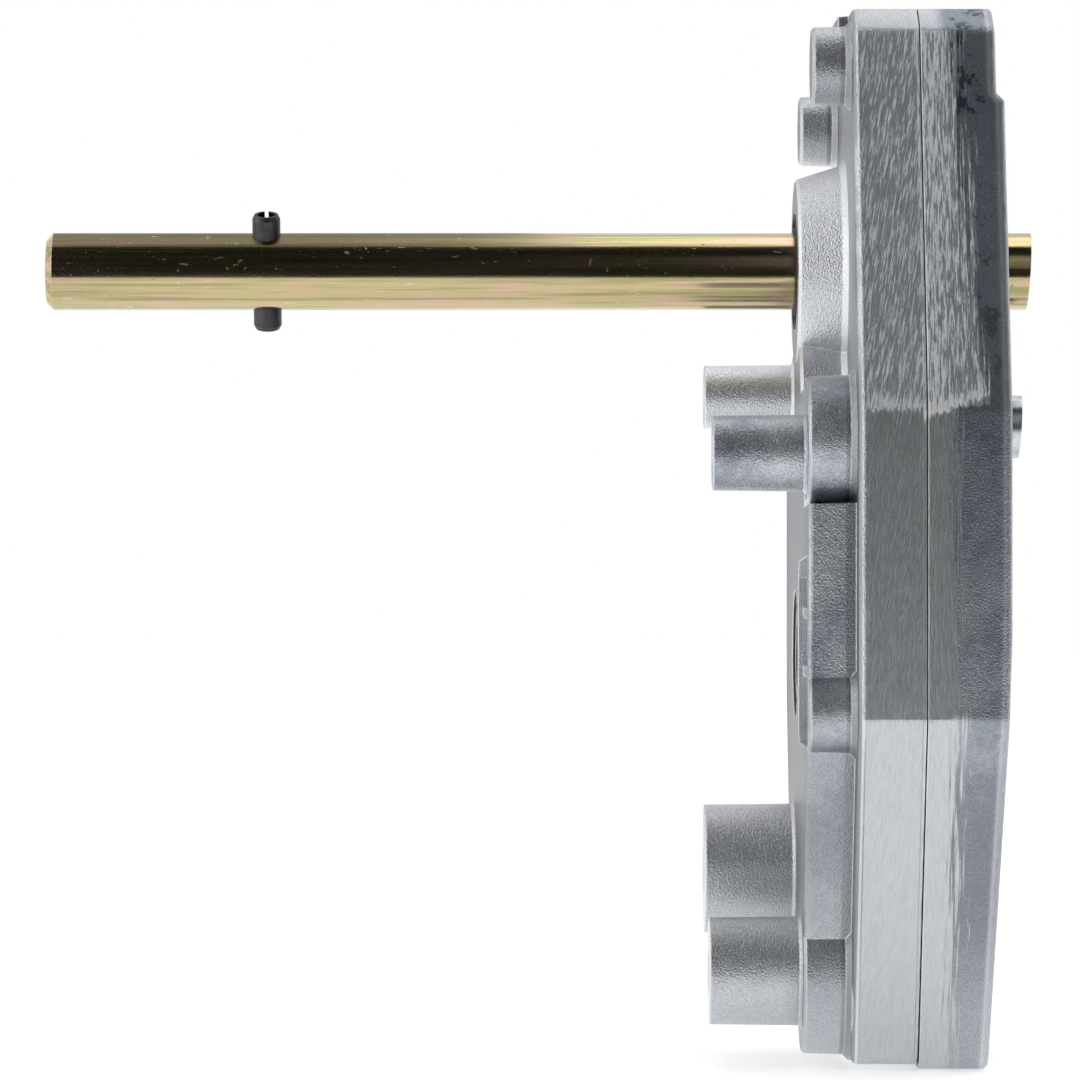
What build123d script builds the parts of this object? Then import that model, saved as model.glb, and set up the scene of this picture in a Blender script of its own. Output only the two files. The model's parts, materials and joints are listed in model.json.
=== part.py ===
from build123d import *
from math import acos, atan2, cos, degrees, pi, radians, sin, sqrt, tan
import os

# A two-speed gearbox for a trailer landing leg.
# The origin is where the crank shaft's axis crosses the plane of the leg posts' faces.
# +X runs along the shaft towards the cover, +Z is up, and -Y is the side with the tall upper pad.

# Shaft and its pins
SHAFT_D = 22.0
SHAFT_LEFT = 188.5
SHAFT_RIGHT = 92.6
SHAFT_CHAMFER = 1.8
SAW_CUT_TILT = 3.3
CRANK_PIN_D = 8.0
CRANK_PIN_LENGTH = 34.0
CRANK_PIN_BORE_D = 5.2
CRANK_PIN_FROM_END = 62.8
CRANK_PIN_SLOT = 1.1
CRANK_PIN_TAPER = 0.6
PIN_TILT = 20.0
DRIVE_PIN_D = 6.0
DRIVE_PIN_LENGTH = 28.0
DRIVE_PIN_CHAMFER = 0.6

# Casing outline: half widths across Y at heights Z
TOP_Z = 72.1
TOP_HALF = 36.0
SHOULDER_Z = 65.7
SHOULDER_HALF = 47.8
SIDE_HALF = 83.0
SIDE_TOP_Z = -41.3
SIDE_BOTTOM_Z = -125.9
BOTTOM_HALF = 41.0
BOTTOM_Z = -224.9
CASTING_MISMATCH = 1.3
BOTTOM_CORNER_R = 7.0
TOP_CORNER_R = 5.0

# Casing planes along X
PLATEAU_X = 25.9
HUB_FACE_X = 25.3
TOP_BOSS_X = 28.3
RIM_X = 39.2
PARTING_X = 58.0
COVER_FRONT_X = 81.2
COVER_STEP = 2.2
COVER_STEP_Z = 47.2
COVER_TAPER_Z = -104.0
COVER_TAPER = 3.6
GASKET = 0.4
GASKET_INSET = 0.35

# Casting walls and edges
WALL = 5.0
FLOOR = 4.5
RIM_FLOOR = 5.7
FRONT_WALL = 4.7
EDGE_R = 1.6
RIM_EDGE_R = 2.2
PLATEAU_EDGE_R = 1.6
BOSS_EDGE = 0.8
BOSS_ROOT = 1.6
POST_EDGE = 0.25
POST_ROOT = 0.8
DRAFT = 1.2
POST_DRAFT = 0.6
RIB_DRAFT = 4.8
OVERLAP = 1.0
LEDGE = 11.0
PLATEAU_TOP_Z = -34.0
PLATEAU_NEAR_TOP_Z = -66.6
PLATEAU_STEP_Y = -46.0

# Shaft hub on the rear and bearing rings on the front
HUB_FACE_D = 52.9
HUB_BASE_D = 60.1
TOP_RIB_X = 36.2
TOP_RIB_DOWN = 1.5
TOP_RIB = 5.0
TOP_RIB_HALF = 30.0
FRONT_BOSS_RISE = 3.6
INPUT_RING_D = 46.0
AXLE_RING_D = 32.0
OUTPUT_RING_D = 50.0

# Leg posts: Y, Z, diameter, tapped hole radius
NEAR_UPPER_POST = (-58.9, -52.8, 20.7, 4.25)
FAR_UPPER_POST = (25.2, -35.4, 18.2, 4.25)
NEAR_LOWER_POST = (-23.7, -198.4, 30.2, 6.0)
FAR_LOWER_POST = (25.7, -172.2, 37.2, 6.0)
POSTS = (NEAR_UPPER_POST, FAR_UPPER_POST, NEAR_LOWER_POST, FAR_LOWER_POST)
TAPPED_DEPTH = 24.0
TAP_MOUTH_CHAMFER = 1.0

# Pads and bosses on the rear: Y, Z, diameter
NEAR_UPPER_PAD = (-58.9, -49.2, 35.4)
FAR_UPPER_PAD = (25.2, -35.4, 26.0)
NEAR_LOWER_PAD = (-23.7, -198.4, 46.3)
NEAR_TOP_BOSS = (-36.0, 56.0, 21.6)
FAR_TOP_BOSS = (43.0, 43.0, 20.2)
NEAR_MID_BOSS = (-66.4, -124.2, 21.9)

# Cover screws: side and height of those along the flanks, and the place of the one at the bottom
FLANK_SCREWS = ((-1, -8.0), (1, -8.0), (1, -62.0), (-1, -178.0), (1, -182.0))
FLANK_SCREW_INSET = 10.6
BOTTOM_SCREW = (2.0, BOTTOM_Z + 13.9)
SCREW_D = 8.0
SCREW_HEAD_D = 13.0
SCREW_HEAD_H = 8.0
SCREW_HEX = 6.0
SCREW_HEX_DEPTH = 4.0
SCREW_SINK = 1.4
SCREW_LENGTH = 24.0
SCREW_CLEARANCE = 0.4
SCREW_EDGE = 0.8
SCREW_COLUMN_D = 19.0
COLUMN_STEP = 1.2
DOWEL_D = 6.0
DOWEL_LENGTH = 16.0
DOWEL_INSET = 9.0
DOWEL_PLACES = ((0.0, TOP_Z - DOWEL_INSET), (-26.0, BOTTOM_Z + DOWEL_INSET))
DOWEL_COLUMN_D = 13.0

# Rear pocket beside the output
POCKET_NEAR_Y = -67.0
POCKET_FAR_Y = -8.5
POCKET_TOP_Z = -83.0
POCKET_BOTTOM_Z = -134.0
POCKET_CORNER = 4.5
POCKET_TOP_RISE = 1.8
POCKET_DEPTH = 5.0
POCKET_RIB_Z = (-97.5, -114.0)
POCKET_RIB = 3.0
POCKET_RIB_DROP = 1.6

# Gears: module in millimetres, 20 degree stub teeth
MODULE = 3.175
PRESSURE_ANGLE = 20.0
ADDENDUM = 0.8
DEDENDUM = 1.0
BACKLASH = 0.24
TOOTH_ROOM = 1.0
LOW_TEETH = 12
HIGH_TEETH = 16
CLUSTER_BIG_TEETH = 16
CLUSTER_SMALL_TEETH = 12
OUTPUT_TEETH = 30
OUTPUT_Y = 14.0

# Places of the gears along X
OUTPUT_GEAR_X = 36.0
OUTPUT_GEAR_FACE = 9.4
LOW_GEAR_X = 46.4
LOW_GEAR_FACE = 8.0
LOW_HUB_LENGTH = 5.5
LOW_HUB_R = 15.7
HIGH_SLOT_DEPTH = 5.6
CLUSTER_NECK_R = 15.0
SLOT_CLEARANCE = 0.25
PIN_ENGAGED_GAP = 0.2
DETENT_WIRE = 1.6
DETENT_FROM_FACE = 3.0
DETENT_GROOVE = 0.5
DETENT_GAP = 4.0
DETENT_GAP_ANGLE = 110.0
HIGH_SLOT_TILT = 65.0

# Axle, bushings, seals and washers
AXLE_D = 18.0
AXLE_RIGHT = 90.1
AXLE_LEFT = 28.6
AXLE_CHAMFER = 0.8
CLUSTER_BUSHING_WALL = 2.0
INPUT_BUSHING_WALL = 2.5
HUB_SEAL_RING = 5.5
HUB_SEAL_PROUD = 0.3
HUB_SEAL_WIDTH = 6.0
COVER_SEAL_RING = 5.0
COVER_SEAL_WIDTH = 3.2
SLEEVE_BORE_D = 20.0
SLEEVE_WALL = 5.0
SLEEVE_SHOULDER = 2.0
SLEEVE_REAR_X = 26.6
OUTPUT_BUSHING_WALL = 2.5
OUTPUT_SEAL_RING = 3.5
OUTPUT_SEAL_WIDTH = 3.9
OUTPUT_BOSS_WALL = 7.5
OUTPUT_COVER_BOSS_X = 61.0
KEY_WIDTH = 6.0
KEY_HEIGHT = 5.0
KEYWAY_WIDTH = 6.0
KEYWAY_DEPTH = 2.8
SLEEVE_BORE_DEPTH = 38.0
SLEEVE_CHAMFER = 1.0
COLLAR_RISE = 3.0
COLLAR_WIDTH = 3.0
WEB_RIM = 6.0
WEB_HUB = 7.0
WEB_RECESS = 2.2
OUTPUT_FLANGE_RISE = 3.5
OUTPUT_FLANGE_T = 1.3
SEAL_SINK = 0.3
SEAL_GROOVE = 1.2
WASHER_T = 1.2
WASHER_CLEARANCE = 0.2
LOW_WASHER_R = 15.0
HIGH_WASHER_R = 17.0
AXLE_WASHER_R = 14.5
AXLE_BOSS_R = 15.0
POST_CORE_D = 28.0
RUNNING = 0.04
SEAT = 0.02
SIDE_PLAY = 0.1
FACE_GAP = 0.3

# Worked out from the sizes above
SHAFT_R = SHAFT_D / 2
AXLE_R = AXLE_D / 2
CLUSTER_BUSHING_D = AXLE_D + 2 * CLUSTER_BUSHING_WALL
INPUT_BUSHING_D = SHAFT_D + 2 * INPUT_BUSHING_WALL
HUB_SEAL_D = SHAFT_D + 2 * HUB_SEAL_RING
COVER_SEAL_D = SHAFT_D + 2 * COVER_SEAL_RING
SLEEVE_JOURNAL_D = SLEEVE_BORE_D + 2 * SLEEVE_WALL
SLEEVE_SEAT_D = SLEEVE_JOURNAL_D + 2 * SLEEVE_SHOULDER
COLLAR_D = SLEEVE_SEAT_D + 2 * COLLAR_RISE
OUTPUT_BUSHING_D = SLEEVE_JOURNAL_D + 2 * OUTPUT_BUSHING_WALL
OUTPUT_SEAL_D = SLEEVE_JOURNAL_D + 2 * OUTPUT_SEAL_RING
OUTPUT_FLANGE_D = OUTPUT_BUSHING_D + 2 * OUTPUT_FLANGE_RISE
OUTPUT_BOSS_D = OUTPUT_BUSHING_D + 2 * OUTPUT_BOSS_WALL
WEB_INNER_R = SLEEVE_SEAT_D / 2 + WEB_HUB
WEB_OUTER_R = (OUTPUT_TEETH / 2 - DEDENDUM) * MODULE - WEB_RIM
COVER_INNER_X = COVER_FRONT_X - FRONT_WALL
BODY_INNER_X = RIM_X + RIM_FLOOR
PLATEAU_INNER_X = PLATEAU_X + FLOOR
POCKET_INNER_X = PLATEAU_X + POCKET_DEPTH + FLOOR
FRONT_BOSS_X = COVER_FRONT_X + FRONT_BOSS_RISE
COVER_SEAL_X = FRONT_BOSS_X - COVER_SEAL_WIDTH
HUB_SEAL_END_X = HUB_FACE_X - HUB_SEAL_PROUD + HUB_SEAL_WIDTH
OUTPUT_SEAL_X = PLATEAU_X + SEAL_SINK
OUTPUT_SEAL_END_X = OUTPUT_SEAL_X + OUTPUT_SEAL_WIDTH
OUTPUT_FLANGE_X = OUTPUT_GEAR_X - FACE_GAP - OUTPUT_FLANGE_T
OUTPUT_GEAR_END_X = OUTPUT_GEAR_X + OUTPUT_GEAR_FACE
AXLE_BOSS_X = OUTPUT_GEAR_X - SIDE_PLAY - WASHER_T
GEAR_END_X = COVER_INNER_X - WASHER_T - SIDE_PLAY
SLEEVE_FRONT_X = COVER_INNER_X - 2 * FACE_GAP
PITCH_SUM = LOW_TEETH + CLUSTER_BIG_TEETH
AXLE_Z = -PITCH_SUM * MODULE / 2
CLUSTER_ROOM_R = (CLUSTER_SMALL_TEETH / 2 + ADDENDUM) * MODULE + TOOTH_ROOM
OUTPUT_REACH = (CLUSTER_SMALL_TEETH + OUTPUT_TEETH) * MODULE / 2
OUTPUT_Z = AXLE_Z - sqrt(OUTPUT_REACH**2 - OUTPUT_Y**2)
PIN_X = CRANK_PIN_FROM_END - SHAFT_LEFT
LOW_HUB_FACE_X = LOW_GEAR_X + LOW_GEAR_FACE + LOW_HUB_LENGTH
DRIVE_PIN_X = LOW_GEAR_X + LOW_GEAR_FACE + PIN_ENGAGED_GAP + DRIVE_PIN_D / 2
NEUTRAL_TRAVEL = LOW_HUB_FACE_X + FACE_GAP - (DRIVE_PIN_X - DRIVE_PIN_D / 2)
HIGH_GEAR_X = DRIVE_PIN_X + DRIVE_PIN_D / 2 + NEUTRAL_TRAVEL + FACE_GAP
HIGH_TRAVEL = NEUTRAL_TRAVEL + FACE_GAP + HIGH_SLOT_DEPTH - PIN_ENGAGED_GAP
SLOT_WIDTH = DRIVE_PIN_D + 2 * SLOT_CLEARANCE
SLOT_LENGTH = DRIVE_PIN_LENGTH + 2 * SLOT_CLEARANCE
DETENT_X = LOW_GEAR_X + DETENT_FROM_FACE
DETENT_RING_R = SHAFT_R + DETENT_WIRE


def slab(sketch, x0, x1, taper=0.0):
    """The sketch, drawn across Y and Z, made solid from x0 to x1, narrowing towards x1 by the taper."""
    plane = Plane.YZ.offset(x0)
    if x1 < x0:
        plane = Plane(origin=(x0, 0, 0), x_dir=(0, 1, 0), z_dir=(-1, 0, 0))
        sketch = mirror(sketch, Plane.XZ)
    return extrude(plane * sketch, amount=abs(x1 - x0), taper=taper)


def bar(y, z, radius, x0, x1):
    """A round bar along X."""
    return slab(Pos(y, z) * Circle(radius), x0, x1)


def tube(y, z, outer, inner, x0, x1):
    """A round tube along X."""
    return slab(Pos(y, z) * (Circle(outer) - Circle(inner)), x0, x1)


def turned(points, y=0.0, z=0.0):
    """A body of revolution about a line along X, from its (x, radius) points."""
    face = Plane.XZ * make_face(Polyline(*points, close=True))
    return Pos(0, y, z) * revolve(face, Axis.X)


def outline(bottom_z=BOTTOM_Z):
    """The casing's outline across Y and Z."""
    right = [
        (TOP_HALF, TOP_Z),
        (SHOULDER_HALF, SHOULDER_Z),
        (SIDE_HALF, SIDE_TOP_Z),
        (SIDE_HALF, SIDE_BOTTOM_Z),
        (BOTTOM_HALF, bottom_z),
    ]
    left = [(-y, z) for y, z in reversed(right)]
    sketch = make_face(Polyline(*right, *left, close=True))
    low = sketch.vertices().filter_by(lambda v: v.Y < SIDE_BOTTOM_Z - OVERLAP)
    sketch = fillet(low, BOTTOM_CORNER_R)
    high = sketch.vertices().filter_by(lambda v: v.Y > SIDE_TOP_Z + OVERLAP)
    return fillet(high, TOP_CORNER_R)


def inset(sketch, distance):
    """The same outline, moved inwards."""
    return offset(sketch, amount=-distance, kind=Kind.INTERSECTION)


def below(z):
    """A wide sketch that covers everything lower than z."""
    reach = 4 * SIDE_HALF
    return Pos(0, z - reach / 2) * Rectangle(reach, reach)


def half_width(z):
    """Half the outline's width at a height between its shoulder and its bottom."""
    if z > SIDE_TOP_Z:
        share = (z - SIDE_TOP_Z) / (SHOULDER_Z - SIDE_TOP_Z)
        return SIDE_HALF + (SHOULDER_HALF - SIDE_HALF) * share
    if z > SIDE_BOTTOM_Z:
        return SIDE_HALF
    share = (SIDE_BOTTOM_Z - z) / (SIDE_BOTTOM_Z - BOTTOM_Z)
    return SIDE_HALF + (BOTTOM_HALF - SIDE_HALF) * share


SCREW_PLACES = [
    NEAR_TOP_BOSS[:2],
    FAR_TOP_BOSS[:2],
    NEAR_MID_BOSS[:2],
    *[(side * (half_width(z) - FLANK_SCREW_INSET), z) for side, z in FLANK_SCREWS],
    BOTTOM_SCREW,
]


def columns(places, diameter):
    """Round columns at the given places, as one sketch."""
    return Sketch() + [Pos(y, z) * Circle(diameter / 2) for y, z in places]


def boss(y, z, diameter, face_x, base_x, edge=BOSS_EDGE, root=BOSS_ROOT, draft=DRAFT):
    """A cast boss that rises from base_x back to face_x, with draft, a broken edge and a widened root."""
    tip = diameter / 2
    base = tip + (base_x - face_x) * tan(radians(draft))
    rim = [(face_x, 0), (face_x, tip - edge), (face_x + edge, tip)]
    inside = base_x + OVERLAP
    foot = [(base_x - root, base), (base_x, base + root), (inside, base + root), (inside, 0)]
    return turned(rim + foot, y, z)


def gear_sketch(teeth, phase):
    """Involute teeth with 20 degree stub form. The phase is the angle of one tooth from +Y towards +Z."""
    pitch_r = teeth * MODULE / 2
    base_r = pitch_r * cos(radians(PRESSURE_ANGLE))
    tip_r = pitch_r + ADDENDUM * MODULE
    root_r = pitch_r - DEDENDUM * MODULE
    start_r = max(base_r, root_r)

    def involute(radius):
        pressure = acos(min(1.0, base_r / radius))
        return tan(pressure) - pressure

    half_tooth = (pi * MODULE / 2 - BACKLASH / 2) / (2 * pitch_r)
    zero = half_tooth + involute(pitch_r)
    mid_r = (start_r + tip_r) / 2

    def at(radius, angle):
        return (radius * cos(angle), radius * sin(angle))

    edges = []
    for tooth in range(teeth):
        centre = radians(phase) + tooth * 2 * pi / teeth
        after = centre + 2 * pi / teeth
        flank = [(r, zero - involute(r)) for r in (start_r, mid_r, tip_r)]
        rising = [at(r, centre - a) for r, a in flank]
        falling = [at(r, centre + a) for r, a in reversed(flank)]
        edges.append(ThreePointArc(*rising))
        edges.append(Line(rising[2], falling[0]))
        edges.append(ThreePointArc(*falling))
        root_a = at(root_r, centre + zero)
        root_b = at(root_r, after - zero)
        next_start = at(start_r, after - zero)
        if start_r > root_r:
            edges.append(Line(falling[2], root_a))
            edges.append(Line(root_a, root_b))
            edges.append(Line(root_b, next_start))
        else:
            edges.append(Line(falling[2], next_start))
    return make_face(Wire(edges))


def gear(teeth, phase, y, z, x0, x1):
    return slab(Pos(y, z) * gear_sketch(teeth, phase), x0, x1)


def meshed_phase(teeth, phase, mate_teeth, direction):
    """The phase of a mate whose tooth gap meets this gear's tooth, in the direction to the mate's centre."""
    pitch = 360 / teeth
    mate_pitch = 360 / mate_teeth
    along = (direction - phase) / pitch
    return direction + 180 - (0.5 - along) * mate_pitch


# Phases that follow from one to the next through the train
PIN_ANGLE = 90 + PIN_TILT
LOW_PHASE = PIN_ANGLE
DOWN = -90.0
CLUSTER_PHASE = meshed_phase(LOW_TEETH, LOW_PHASE, CLUSTER_BIG_TEETH, DOWN)
OUTPUT_DIRECTION = degrees(atan2(OUTPUT_Z - AXLE_Z, OUTPUT_Y))
OUTPUT_PHASE = meshed_phase(CLUSTER_SMALL_TEETH, CLUSTER_PHASE, OUTPUT_TEETH, OUTPUT_DIRECTION)
HIGH_PHASE = meshed_phase(CLUSTER_SMALL_TEETH, CLUSTER_PHASE, HIGH_TEETH, 90.0)


def cross_pin(x, radius, length, tilt):
    """A pin across the shaft, tilted from upright towards -Y."""
    pin = Cylinder(radius, length)
    return Pos(x, 0, 0) * Rot(X=tilt) * pin


def cross_slot(x0, x1, width, length, tilt):
    """A box across the shaft for a cross pin, from x0 to x1."""
    return Pos((x0 + x1) / 2, 0, 0) * Rot(X=tilt) * Box(x1 - x0, width, length)


def sawn_end(x, radius, y, z):
    """A wedge beyond a bar's right end, which was sawn a little out of square."""
    drop = radius * tan(radians(SAW_CUT_TILT))
    points = [(x, radius), (x + 3 * radius, radius), (x + 3 * radius, -radius), (x - 2 * drop, -radius)]
    wedge = Plane.XZ * make_face(Polyline(*points, close=True))
    wide = extrude(wedge, amount=2 * radius, both=True)
    return Pos(0, y, z) * wide


def cavity_sketch(distance):
    """The hollow inside the walls, with the screw and dowel columns left standing."""
    hollow = inset(outline(), distance)
    hollow -= columns(SCREW_PLACES, SCREW_COLUMN_D)
    hollow -= columns(DOWEL_PLACES, DOWEL_COLUMN_D)
    return hollow.faces().sort_by(SortBy.AREA)[-1]


def plateau_sketch(distance):
    """The plateau, moved inwards. Its top is lower on the near side, below the upper pad."""
    wide = inset(outline(), LEDGE + distance) & below(PLATEAU_TOP_Z - distance)
    near = Pos(PLATEAU_STEP_Y + distance - SIDE_HALF, 0) * Rectangle(2 * SIDE_HALF, 2 * SIDE_HALF)
    return wide - (near - below(PLATEAU_NEAR_TOP_Z - distance))


def pocket_sketch(grow=0.0):
    points = [
        (POCKET_NEAR_Y - grow, POCKET_TOP_Z + POCKET_TOP_RISE + grow),
        (POCKET_FAR_Y - POCKET_CORNER + grow, POCKET_TOP_Z + grow),
        (POCKET_FAR_Y + grow, POCKET_TOP_Z - POCKET_CORNER + grow),
        (POCKET_FAR_Y + grow, POCKET_BOTTOM_Z + POCKET_CORNER - grow),
        (POCKET_FAR_Y - POCKET_CORNER + grow, POCKET_BOTTOM_Z - grow),
        (POCKET_NEAR_Y - grow, POCKET_BOTTOM_Z - grow),
    ]
    return make_face(Polyline(*points, close=True))


def cast_forms():
    """The raised forms on the body's rear: plateau, hub, pads, bosses and posts."""
    plateau = slab(plateau_sketch(0), RIM_X + OVERLAP, PLATEAU_X, taper=DRAFT)
    forms = fillet(plateau.faces().sort_by(Axis.X)[0].edges(), PLATEAU_EDGE_R)
    hub_draft = degrees(atan2((HUB_BASE_D - HUB_FACE_D) / 2, RIM_X - HUB_FACE_X))
    forms += boss(0, 0, HUB_FACE_D, HUB_FACE_X, RIM_X, draft=hub_draft)
    forms += boss(0, AXLE_Z, 2 * (CLUSTER_ROOM_R + WALL), PLATEAU_X, RIM_X)
    for y, z, size in (NEAR_UPPER_PAD, FAR_UPPER_PAD, NEAR_LOWER_PAD, NEAR_MID_BOSS):
        forms += boss(y, z, size, PLATEAU_X, RIM_X)
    for y, z, size in (NEAR_TOP_BOSS, FAR_TOP_BOSS):
        forms += boss(y, z, size, TOP_BOSS_X, RIM_X)
    for y, z, size, hole in POSTS:
        forms += boss(y, z, size, 0, PLATEAU_X, POST_EDGE, POST_ROOT, POST_DRAFT)
    rib = Pos(0, TOP_Z - TOP_RIB_DOWN - TOP_RIB / 2) * Rectangle(2 * TOP_RIB_HALF, TOP_RIB)
    forms += slab(rib, RIM_X + OVERLAP, TOP_RIB_X, taper=RIB_DRAFT)
    return forms


def body_hollows():
    """The spaces inside the body: the wide part, the deep part under the plateau, and its pocket's floor."""
    deep = plateau_sketch(WALL) - columns(SCREW_PLACES, SCREW_COLUMN_D + COLUMN_STEP)
    deep -= columns([NEAR_UPPER_POST[:2], NEAR_LOWER_POST[:2]], POST_CORE_D)
    over_pocket = deep & pocket_sketch(FLOOR)
    deep -= pocket_sketch(FLOOR)
    deep -= columns([(0, AXLE_Z)], 2 * AXLE_BOSS_R)
    deep -= columns([(OUTPUT_Y, OUTPUT_Z)], OUTPUT_BOSS_D)
    return [
        slab(cavity_sketch(WALL), BODY_INNER_X, PARTING_X),
        slab(deep, PLATEAU_INNER_X, BODY_INNER_X),
        slab(over_pocket, POCKET_INNER_X, BODY_INNER_X),
        bar(0, AXLE_Z, CLUSTER_ROOM_R, AXLE_BOSS_X, BODY_INNER_X),
        bar(OUTPUT_Y, OUTPUT_Z, OUTPUT_BOSS_D / 2 + SIDE_PLAY, OUTPUT_FLANGE_X, BODY_INNER_X),
    ]


def rear_pocket():
    """The pocket beside the output, with its two low ribs left standing."""
    pocket = slab(pocket_sketch(), PLATEAU_X - OVERLAP, PLATEAU_X + POCKET_DEPTH)
    for z in POCKET_RIB_Z:
        rib = Pos((POCKET_NEAR_Y + POCKET_FAR_Y) / 2, z) * Rectangle(2 * SIDE_HALF, POCKET_RIB)
        pocket -= slab(rib, PLATEAU_X + POCKET_RIB_DROP, PLATEAU_X + POCKET_DEPTH)
    return pocket


def make_body():
    shell = outline(BOTTOM_Z + CASTING_MISMATCH)
    body = slab(shell, PARTING_X - GASKET / 2, RIM_X)
    body = fillet(body.faces().sort_by(Axis.X)[0].edges(), RIM_EDGE_R)
    body += cast_forms() & slab(shell, PARTING_X, -OVERLAP)
    for hollow in body_hollows():
        body -= hollow
    body -= rear_pocket()
    body -= bar(0, 0, HUB_SEAL_D / 2 + SEAT, HUB_FACE_X - OVERLAP, HUB_SEAL_END_X)
    body -= bar(0, 0, INPUT_BUSHING_D / 2 + SEAT, HUB_SEAL_END_X, BODY_INNER_X + OVERLAP)
    body -= bar(0, AXLE_Z, AXLE_R + SEAT, AXLE_LEFT, BODY_INNER_X)
    body -= bar(OUTPUT_Y, OUTPUT_Z, OUTPUT_SEAL_D / 2 + SEAT, PLATEAU_X - OVERLAP, OUTPUT_SEAL_END_X)
    body -= bar(OUTPUT_Y, OUTPUT_Z, OUTPUT_BUSHING_D / 2 + SEAT, OUTPUT_SEAL_END_X, BODY_INNER_X)
    for y, z, size, hole in POSTS:
        mouth = hole + TAP_MOUTH_CHAMFER + OVERLAP
        depth = [(-OVERLAP, 0), (-OVERLAP, mouth), (TAP_MOUTH_CHAMFER, hole)]
        body -= turned(depth + [(TAPPED_DEPTH, hole), (TAPPED_DEPTH + hole / 2, 0)], y, z)
    for y, z in SCREW_PLACES:
        tip = screw_seat(z) - SCREW_LENGTH
        body -= bar(y, z, SCREW_D / 2 + SEAT, tip - FACE_GAP, PARTING_X)
    for y, z in DOWEL_PLACES:
        body -= bar(y, z, DOWEL_D / 2 + SEAT, PARTING_X - DOWEL_LENGTH / 2 - FACE_GAP, PARTING_X)
    return body


def front_at(z):
    """The cover's front face at a height."""
    if z > COVER_STEP_Z:
        return COVER_FRONT_X - COVER_STEP
    if z > COVER_TAPER_Z:
        return COVER_FRONT_X
    return COVER_FRONT_X - COVER_TAPER * (COVER_TAPER_Z - z) / (COVER_TAPER_Z - BOTTOM_Z)


def screw_seat(z):
    return front_at(z) - SCREW_SINK - SCREW_HEAD_H


def side_profile(setback):
    """Everything behind the cover's front, moved back by the setback, as a prism along Y."""
    high = 2 * TOP_Z
    low = 2 * BOTTOM_Z
    points = [
        (0, high),
        (front_at(high) - setback, high),
        (front_at(high) - setback, COVER_STEP_Z),
        (COVER_FRONT_X - setback, COVER_STEP_Z - COVER_STEP),
        (COVER_FRONT_X - setback, COVER_TAPER_Z),
        (front_at(low) - setback, low),
        (0, low),
    ]
    return extrude(Plane.XZ * make_face(Polyline(*points, close=True)), amount=2 * SIDE_HALF, both=True)


def make_cover():
    beyond = COVER_FRONT_X + FRONT_WALL
    cover = slab(outline(), PARTING_X + GASKET / 2, beyond) & side_profile(0)
    front_edges = cover.edges().filter_by(lambda e: e.center().X > front_at(BOTTOM_Z) - OVERLAP)
    rim_edges = front_edges.filter_by(lambda e: abs(e.center().Y) > OVERLAP or e.center().Z > SHOULDER_Z)
    cover = fillet(rim_edges, EDGE_R)
    for y, z, size in ((0, 0, INPUT_RING_D), (0, AXLE_Z, AXLE_RING_D), (OUTPUT_Y, OUTPUT_Z, OUTPUT_RING_D)):
        radius = size / 2
        edge = [(FRONT_BOSS_X - BOSS_EDGE, radius), (FRONT_BOSS_X, radius - BOSS_EDGE), (FRONT_BOSS_X, 0)]
        inside = COVER_INNER_X + OVERLAP
        cover += turned([(inside, 0), (inside, radius)] + edge, y, z)
    cover -= slab(cavity_sketch(WALL), PARTING_X - OVERLAP, beyond) & side_profile(FRONT_WALL)
    cover += bar(OUTPUT_Y, OUTPUT_Z, OUTPUT_BOSS_D / 2, OUTPUT_COVER_BOSS_X, COVER_INNER_X + OVERLAP)
    cover -= bar(0, 0, INPUT_BUSHING_D / 2 + SEAT, PARTING_X, COVER_SEAL_X)
    cover -= bar(0, 0, COVER_SEAL_D / 2 + SEAT, COVER_SEAL_X, beyond)
    cover -= bar(0, AXLE_Z, AXLE_R + SEAT, PARTING_X, beyond)
    cover -= bar(OUTPUT_Y, OUTPUT_Z, OUTPUT_BUSHING_D / 2 + SEAT, PARTING_X, COVER_INNER_X)
    for y, z in SCREW_PLACES:
        cover -= bar(y, z, SCREW_D / 2 + SCREW_CLEARANCE, PARTING_X, beyond)
        cover -= bar(y, z, SCREW_HEAD_D / 2 + SCREW_CLEARANCE, screw_seat(z), beyond)
    for y, z in DOWEL_PLACES:
        cover -= bar(y, z, DOWEL_D / 2 + SEAT, PARTING_X, PARTING_X + DOWEL_LENGTH / 2 + FACE_GAP)
    return cover


def make_gasket():
    ring = inset(outline(BOTTOM_Z + CASTING_MISMATCH), GASKET_INSET) - cavity_sketch(WALL)
    ring -= columns(SCREW_PLACES, SCREW_D + 2 * SCREW_CLEARANCE)
    ring -= columns(DOWEL_PLACES, DOWEL_D + 2 * SEAT)
    ring = ring.faces().sort_by(SortBy.AREA)[-1]
    return slab(ring, PARTING_X - GASKET / 2, PARTING_X + GASKET / 2)


def make_screws():
    """Socket-head screws, sunk in the cover."""
    screws = []
    for y, z in SCREW_PLACES:
        seat = screw_seat(z)
        top = seat + SCREW_HEAD_H
        tip = seat - SCREW_LENGTH
        shank = SCREW_D / 2
        head = SCREW_HEAD_D / 2
        edge = [(top - SCREW_EDGE, head), (top, head - SCREW_EDGE), (top, 0)]
        screw = turned([(tip, 0), (tip, shank), (seat, shank), (seat, head)] + edge, y, z)
        socket = Pos(y, z) * RegularPolygon(SCREW_HEX / 2, 6, major_radius=False)
        screws.append(screw - slab(socket, top - SCREW_HEX_DEPTH, top + OVERLAP))
    return screws


def make_dowels():
    half = DOWEL_LENGTH / 2
    return [bar(y, z, DOWEL_D / 2, PARTING_X - half, PARTING_X + half) for y, z in DOWEL_PLACES]


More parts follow.
